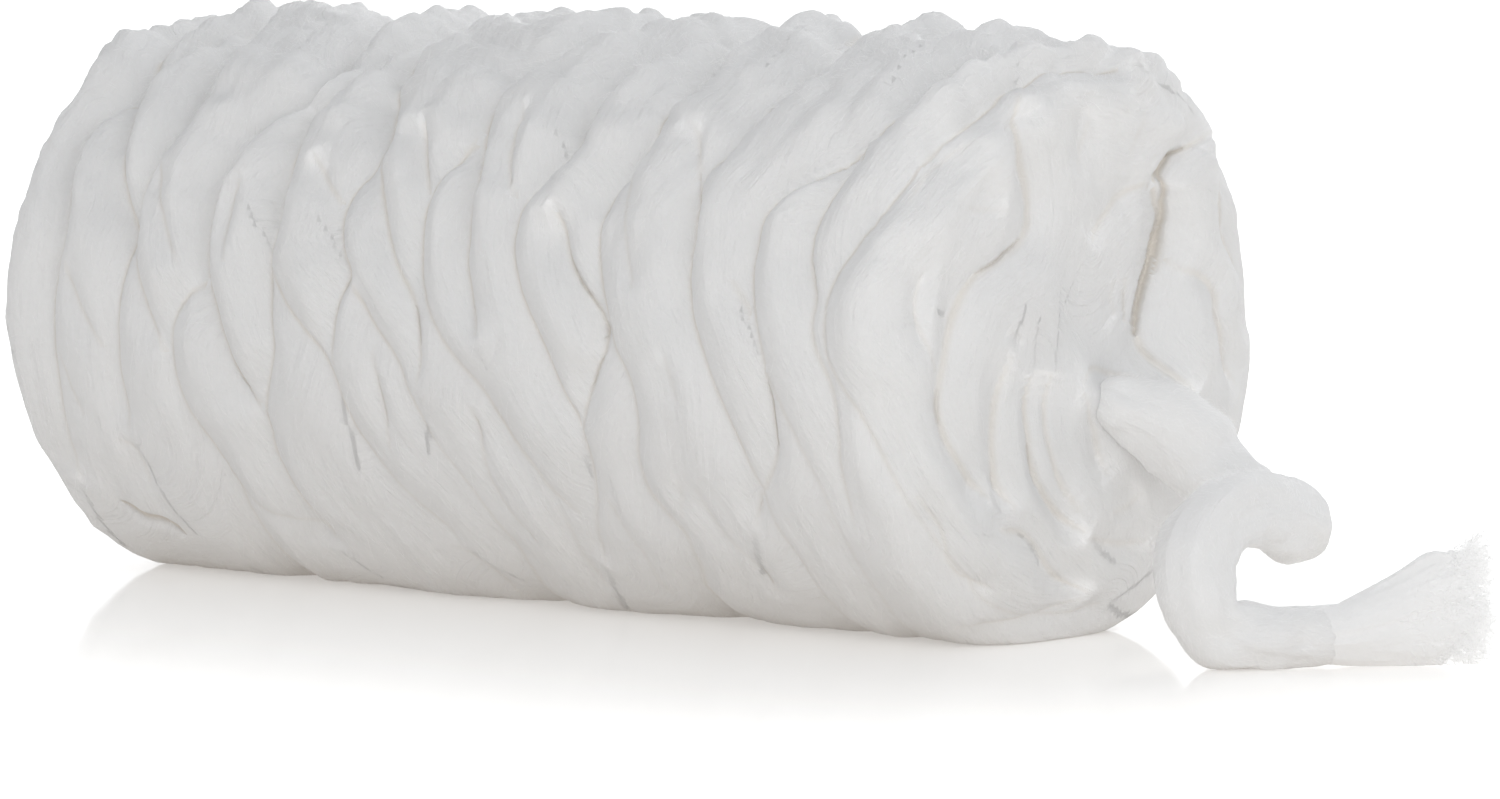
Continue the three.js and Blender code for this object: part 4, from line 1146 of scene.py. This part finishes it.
def fluff_tree():
    """Scatters fibres over a surface, away from its creases, each laid along the heading there."""
    floats = ("Density", "Length", "Thickness", "Lift", "Spread", "Top only")
    sockets = {"Geometry": "Geometry", **dict.fromkeys(floats, "Float")}
    sockets.update({"Seed": "Int", "Material": "Material"})
    tree, given, out = new_group("Loose fibres", "GeometryNodeTree", sockets, {"Geometry": "Geometry"})
    share = 1.0
    for name in ("crease", "slit", "low"):
        closed = named_value(tree, name)
        if name == "low":
            closed = math_node(tree, "MULTIPLY", closed, given["Top only"])
        share = math_node(tree, "MULTIPLY", math_node(tree, "SUBTRACT", 1.0, closed), share)
    density = math_node(tree, "MULTIPLY", share, given["Density"])
    ground = {"Mesh": given["Geometry"], "Density": density, "Seed": given["Seed"]}
    scatter = add_node(tree, "GeometryNodeDistributePointsOnFaces", ground).outputs
    # one fibre of unit length: an arc that leaves the surface and bends back to it
    arc = add_node(tree, "GeometryNodeCurveQuadraticBezier", FIBRE_ARC).outputs["Curve"]
    radius = math_node(tree, "DIVIDE", given["Thickness"], given["Length"])
    section = add_node(tree, "GeometryNodeCurvePrimitiveCircle", {"Resolution": 3, "Radius": radius})
    rod = {"Curve": arc, "Profile Curve": section.outputs["Curve"], "Fill Caps": True}
    body = add_node(tree, "GeometryNodeCurveToMesh", rod)
    # laid along the heading with its back to the surface, then turned by chance
    axes = {"Primary Axis": scatter["Normal"], "Secondary Axis": named_value(tree, "heading", "FLOAT_VECTOR")}
    laid = add_node(tree, "FunctionNodeAxesToRotation", primary_axis="Z", secondary_axis="X")
    set_inputs(tree, laid, axes)
    lift, swing = (math_node(tree, "MULTIPLY", given[title], -1) for title in ("Lift", "Spread"))
    low = add_node(tree, "ShaderNodeCombineXYZ", {"X": -FIBRE_ROLL, "Y": lift, "Z": swing})
    high = add_node(tree, "ShaderNodeCombineXYZ", {"X": FIBRE_ROLL, "Z": given["Spread"]})
    limits = {"Min": low.outputs[0], "Max": high.outputs[0], "Seed": given["Seed"]}
    angles = add_node(tree, "FunctionNodeRandomValue", limits, data_type="FLOAT_VECTOR").outputs["Value"]
    by_chance = add_node(tree, "FunctionNodeEulerToRotation", {"Euler": angles}).outputs["Rotation"]
    turned = add_node(tree, "FunctionNodeRotateRotation", rotation_space="LOCAL")
    set_inputs(tree, turned, {"Rotation": laid.outputs["Rotation"], "Rotate By": by_chance})
    sizes = {**FIBRE_SIZES, "Seed": given["Seed"]}
    size = add_node(tree, "FunctionNodeRandomValue", sizes, data_type="FLOAT")
    scale = math_node(tree, "MULTIPLY", size.outputs["Value"], given["Length"])
    place = add_node(tree, "GeometryNodeInstanceOnPoints", {
        "Points": scatter["Points"], "Instance": body.outputs["Mesh"], "Rotation": turned.outputs["Rotation"],
        "Scale": scale,
    })
    real = add_node(tree, "GeometryNodeRealizeInstances", {"Geometry": place.outputs["Instances"]})
    painted = {"Geometry": real.outputs["Geometry"], "Material": given["Material"]}
    paint = add_node(tree, "GeometryNodeSetMaterial", painted)
    feed(tree, out["Geometry"], paint.outputs["Geometry"])
    return tree


def fluff(tree, name, source, material, density, length, thickness, lift, spread, seed, top_only):
    """Loose fibres over a piece, as a plain mesh of their own."""
    holder = new_object(name, source.data.copy())
    growth = holder.modifiers.new("growth", "NODES")
    growth.node_group = tree
    values = {
        "Density": density, "Length": length * MM, "Thickness": thickness * MM, "Lift": math.radians(lift),
        "Spread": math.radians(spread), "Top only": top_only, "Seed": seed, "Material": material,
    }
    for item in tree.interface.items_tree:
        if item.in_out == "INPUT" and item.name in values:
            growth[item.identifier] = values[item.name]
    grown = bpy.data.meshes.new_from_object(holder.evaluated_get(bpy.context.evaluated_depsgraph_get()))
    holder.modifiers.clear()
    holder.data = grown
    grown.name = name
    places = np.zeros(len(grown.vertices) * 3, np.float32)
    grown.vertices.foreach_get("co", places)
    places[2::3] = np.maximum(places[2::3], LEAST_FIBRE_HEIGHT * MM)
    grown.vertices.foreach_set("co", places)
    return holder


# Light: a white studio with a bright wall behind the roll, lit more from the right

FRONT_LEVEL, BACK_LEVEL, RIGHT_LEVEL = 0.455, 1.65, 0.15
WORLD_COLOUR = (0.97, 0.982, 1.0, 1)
WALL_EDGE = (-0.1, 0.6)
WALL_TOP = (0.25, 0.55)
WALL_SHARE = 0.4
SOFTBOXES = (
    # name, power in watts, width, place
    ("front_softbox", 4.6, 1.0, (0.95, -0.95, 0.45)),
    ("rim_softbox", 4.0, 0.7, (-0.1, 0.95, 0.8)),
)
LAMP_TARGET = Vector((0.05, 0, 0.08))
FLOOR_HALF = 9.0
FLOOR_COLOUR = (0.82, 0.805, 0.78, 1)
FLOOR_GLOSS, FLOOR_ROUGHNESS = 0.30, 0.08
FLOOR_GLOW = (0.33, 0.80)  # painted glow beside the roll, weaker there as painted shade, and far from it
FLOOR_FADE = 0.38
FLOOR_BOUNCE = 0.11
BOUNCE_COLOUR = (1.0, 0.84, 0.68, 1)


def room_light():
    world = bpy.data.worlds.new("studio")
    world.use_nodes = True
    tree = world.node_tree
    place = tree.nodes.new("ShaderNodeTexCoord").outputs["Generated"]

    def towards(direction, low, high, start, end):
        facing = add_node(tree, "ShaderNodeVectorMath", {0: place, 1: direction}, operation="DOT_PRODUCT")
        return smooth_ramp(tree, facing.outputs["Value"], low, high, start, end)

    away = Vector((-math.sin(CAMERA_AZIMUTH), math.cos(CAMERA_AZIMUTH), 0))
    right = Vector((math.cos(CAMERA_AZIMUTH), math.sin(CAMERA_AZIMUTH), 0))
    wall = towards(away, *WALL_EDGE, 0, BACK_LEVEL - FRONT_LEVEL)
    wall = math_node(tree, "MULTIPLY", wall, towards(Vector((0, 0, 1)), *WALL_TOP, 1, 0))
    # the wall shows brighter than it lights the roll's back
    path = tree.nodes.new("ShaderNodeLightPath").outputs["Is Diffuse Ray"]
    share = add_node(tree, "ShaderNodeMix", {"Factor": path, "A": 1, "B": WALL_SHARE})
    wall = math_node(tree, "MULTIPLY", wall, share.outputs["Result"])
    level = math_node(tree, "ADD", towards(right, 0, 1, FRONT_LEVEL, FRONT_LEVEL + RIGHT_LEVEL), wall)
    set_inputs(tree, tree.nodes["Background"], {"Color": WORLD_COLOUR, "Strength": level})
    bpy.context.scene.world = world


def floor_material():
    """Glossy white with a painted glow that is weaker beside the roll, as painted shade around it, and fades
    to plain white away from the roll; it lights the roll less than it shows.
    """
    material, tree, plain = new_material("Glossy floor")
    tree.nodes.remove(plain)
    place = tree.nodes.new("ShaderNodeTexCoord").outputs["Object"]
    apart = add_node(tree, "ShaderNodeSeparateXYZ", {0: place})
    past = []
    for title, half in (("X", HALF_LENGTH * MM), ("Y", ROLL_RADIUS * MM / 2)):
        far = math_node(tree, "ABSOLUTE", apart.outputs[title])
        far = math_node(tree, "MAXIMUM", math_node(tree, "SUBTRACT", far, half), 0.0)
        past.append(math_node(tree, "MULTIPLY", far, far))
    distance = math_node(tree, "SQRT", math_node(tree, "ADD", *past))
    # a painted glow that grows with the distance from the roll, so that the floor beside the roll keeps
    # painted shade
    shown = smooth_ramp(tree, distance, 0, FLOOR_FADE, *FLOOR_GLOW)
    path = tree.nodes.new("ShaderNodeLightPath").outputs["Is Diffuse Ray"]
    level = add_node(tree, "ShaderNodeMix", {"Factor": path, "A": shown, "B": FLOOR_BOUNCE})
    tone = add_node(tree, "ShaderNodeMix", {"Factor": path}, data_type="RGBA")
    set_inputs(tree, tone, {"A": (1, 1, 1, 1), "B": BOUNCE_COLOUR})
    light = {"Strength": level.outputs["Result"], "Color": tone.outputs["Result"]}
    glow = add_node(tree, "ShaderNodeEmission", light)
    matt = add_node(tree, "ShaderNodeBsdfDiffuse", {"Color": FLOOR_COLOUR})
    gloss = add_node(tree, "ShaderNodeBsdfGlossy", {"Roughness": FLOOR_ROUGHNESS})
    mix = add_node(tree, "ShaderNodeMixShader", {0: FLOOR_GLOSS, 1: matt.outputs[0], 2: gloss.outputs[0]})
    add = add_node(tree, "ShaderNodeAddShader", {0: mix.outputs[0], 1: glow.outputs[0]})
    feed(tree, tree.nodes["Material Output"].inputs["Surface"], add.outputs[0])
    return material


def floor_and_light():
    mesh = bpy.data.meshes.new("floor")
    corners = [(x * FLOOR_HALF, y * FLOOR_HALF, 0) for x, y in ((-1, -1), (1, -1), (1, 1), (-1, 1))]
    mesh.from_pydata(corners, [], [(0, 1, 2, 3)])
    mesh.materials.append(floor_material())
    new_object("floor", mesh)
    room_light()
    for name, energy, size, place in SOFTBOXES:
        light = bpy.data.lights.new(name, "AREA")
        light.energy, light.size = energy, size
        lamp = new_object(name, light)
        lamp.location = place
        lamp.rotation_euler = (lamp.location - LAMP_TARGET).to_track_quat("Z", "Y").to_euler()
    bpy.context.scene.view_settings.view_transform = "Standard"


# The scene: camera and cord come first


def make_camera():
    eye, back, _, _ = camera_axes()
    lens = bpy.data.cameras.new("camera")
    lens.sensor_width = SENSOR_WIDTH
    lens.lens = SENSOR_WIDTH * FOCAL_PIXELS / FRAME_WIDTH
    camera = new_object("camera", lens)
    camera.location = eye * MM
    camera.rotation_euler = back.to_track_quat("Z", "Y").to_euler()
    bpy.context.scene.camera = camera


def ride_as(piece, slot, *nodes):
    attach(piece, "root")
    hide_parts(*nodes)
    return piece


make_camera()
groups = fibre_group(), border_group()
cotton = cotton_material("Cotton sliver", *groups, 7, 90, 0.6, 0.004, 0.0)
free_end = cotton_material("Cotton of the loose end", *groups, 7, 90, 0.35, 0.0005, 0.02)
frayed = cotton_material("Frayed cotton", *groups, 9, 120, 0.35, 0.0005, 0.07)
loose = thin_material("Loose fibres", 0.96, 0.15)
wispy = thin_material("Wispy end", 0.97, 0.20)

cord_piece, cord_path = loose_end(free_end)
ride_as(cord_piece, "cotton", "loose_end")
fan_piece = ride_as(fan(frayed), "frayed_cotton", "frayed_tip")
wisp_piece = ride_as(wisps(wispy), "frayed_cotton")
turns = roll_piece("wound_turns", raised_roll(1), cotton)
ride_as(turns, "cotton", "wound_roll")
fluffs = fluff_tree()
extras = [
    fluff(fluffs, name, bpy.data.objects[ground], bpy.data.materials[material], *look)
    for name, ground, material, *look in FIBRES
]
for extra in extras:
    ride_as(extra, "frayed_cotton")

floor_and_light()
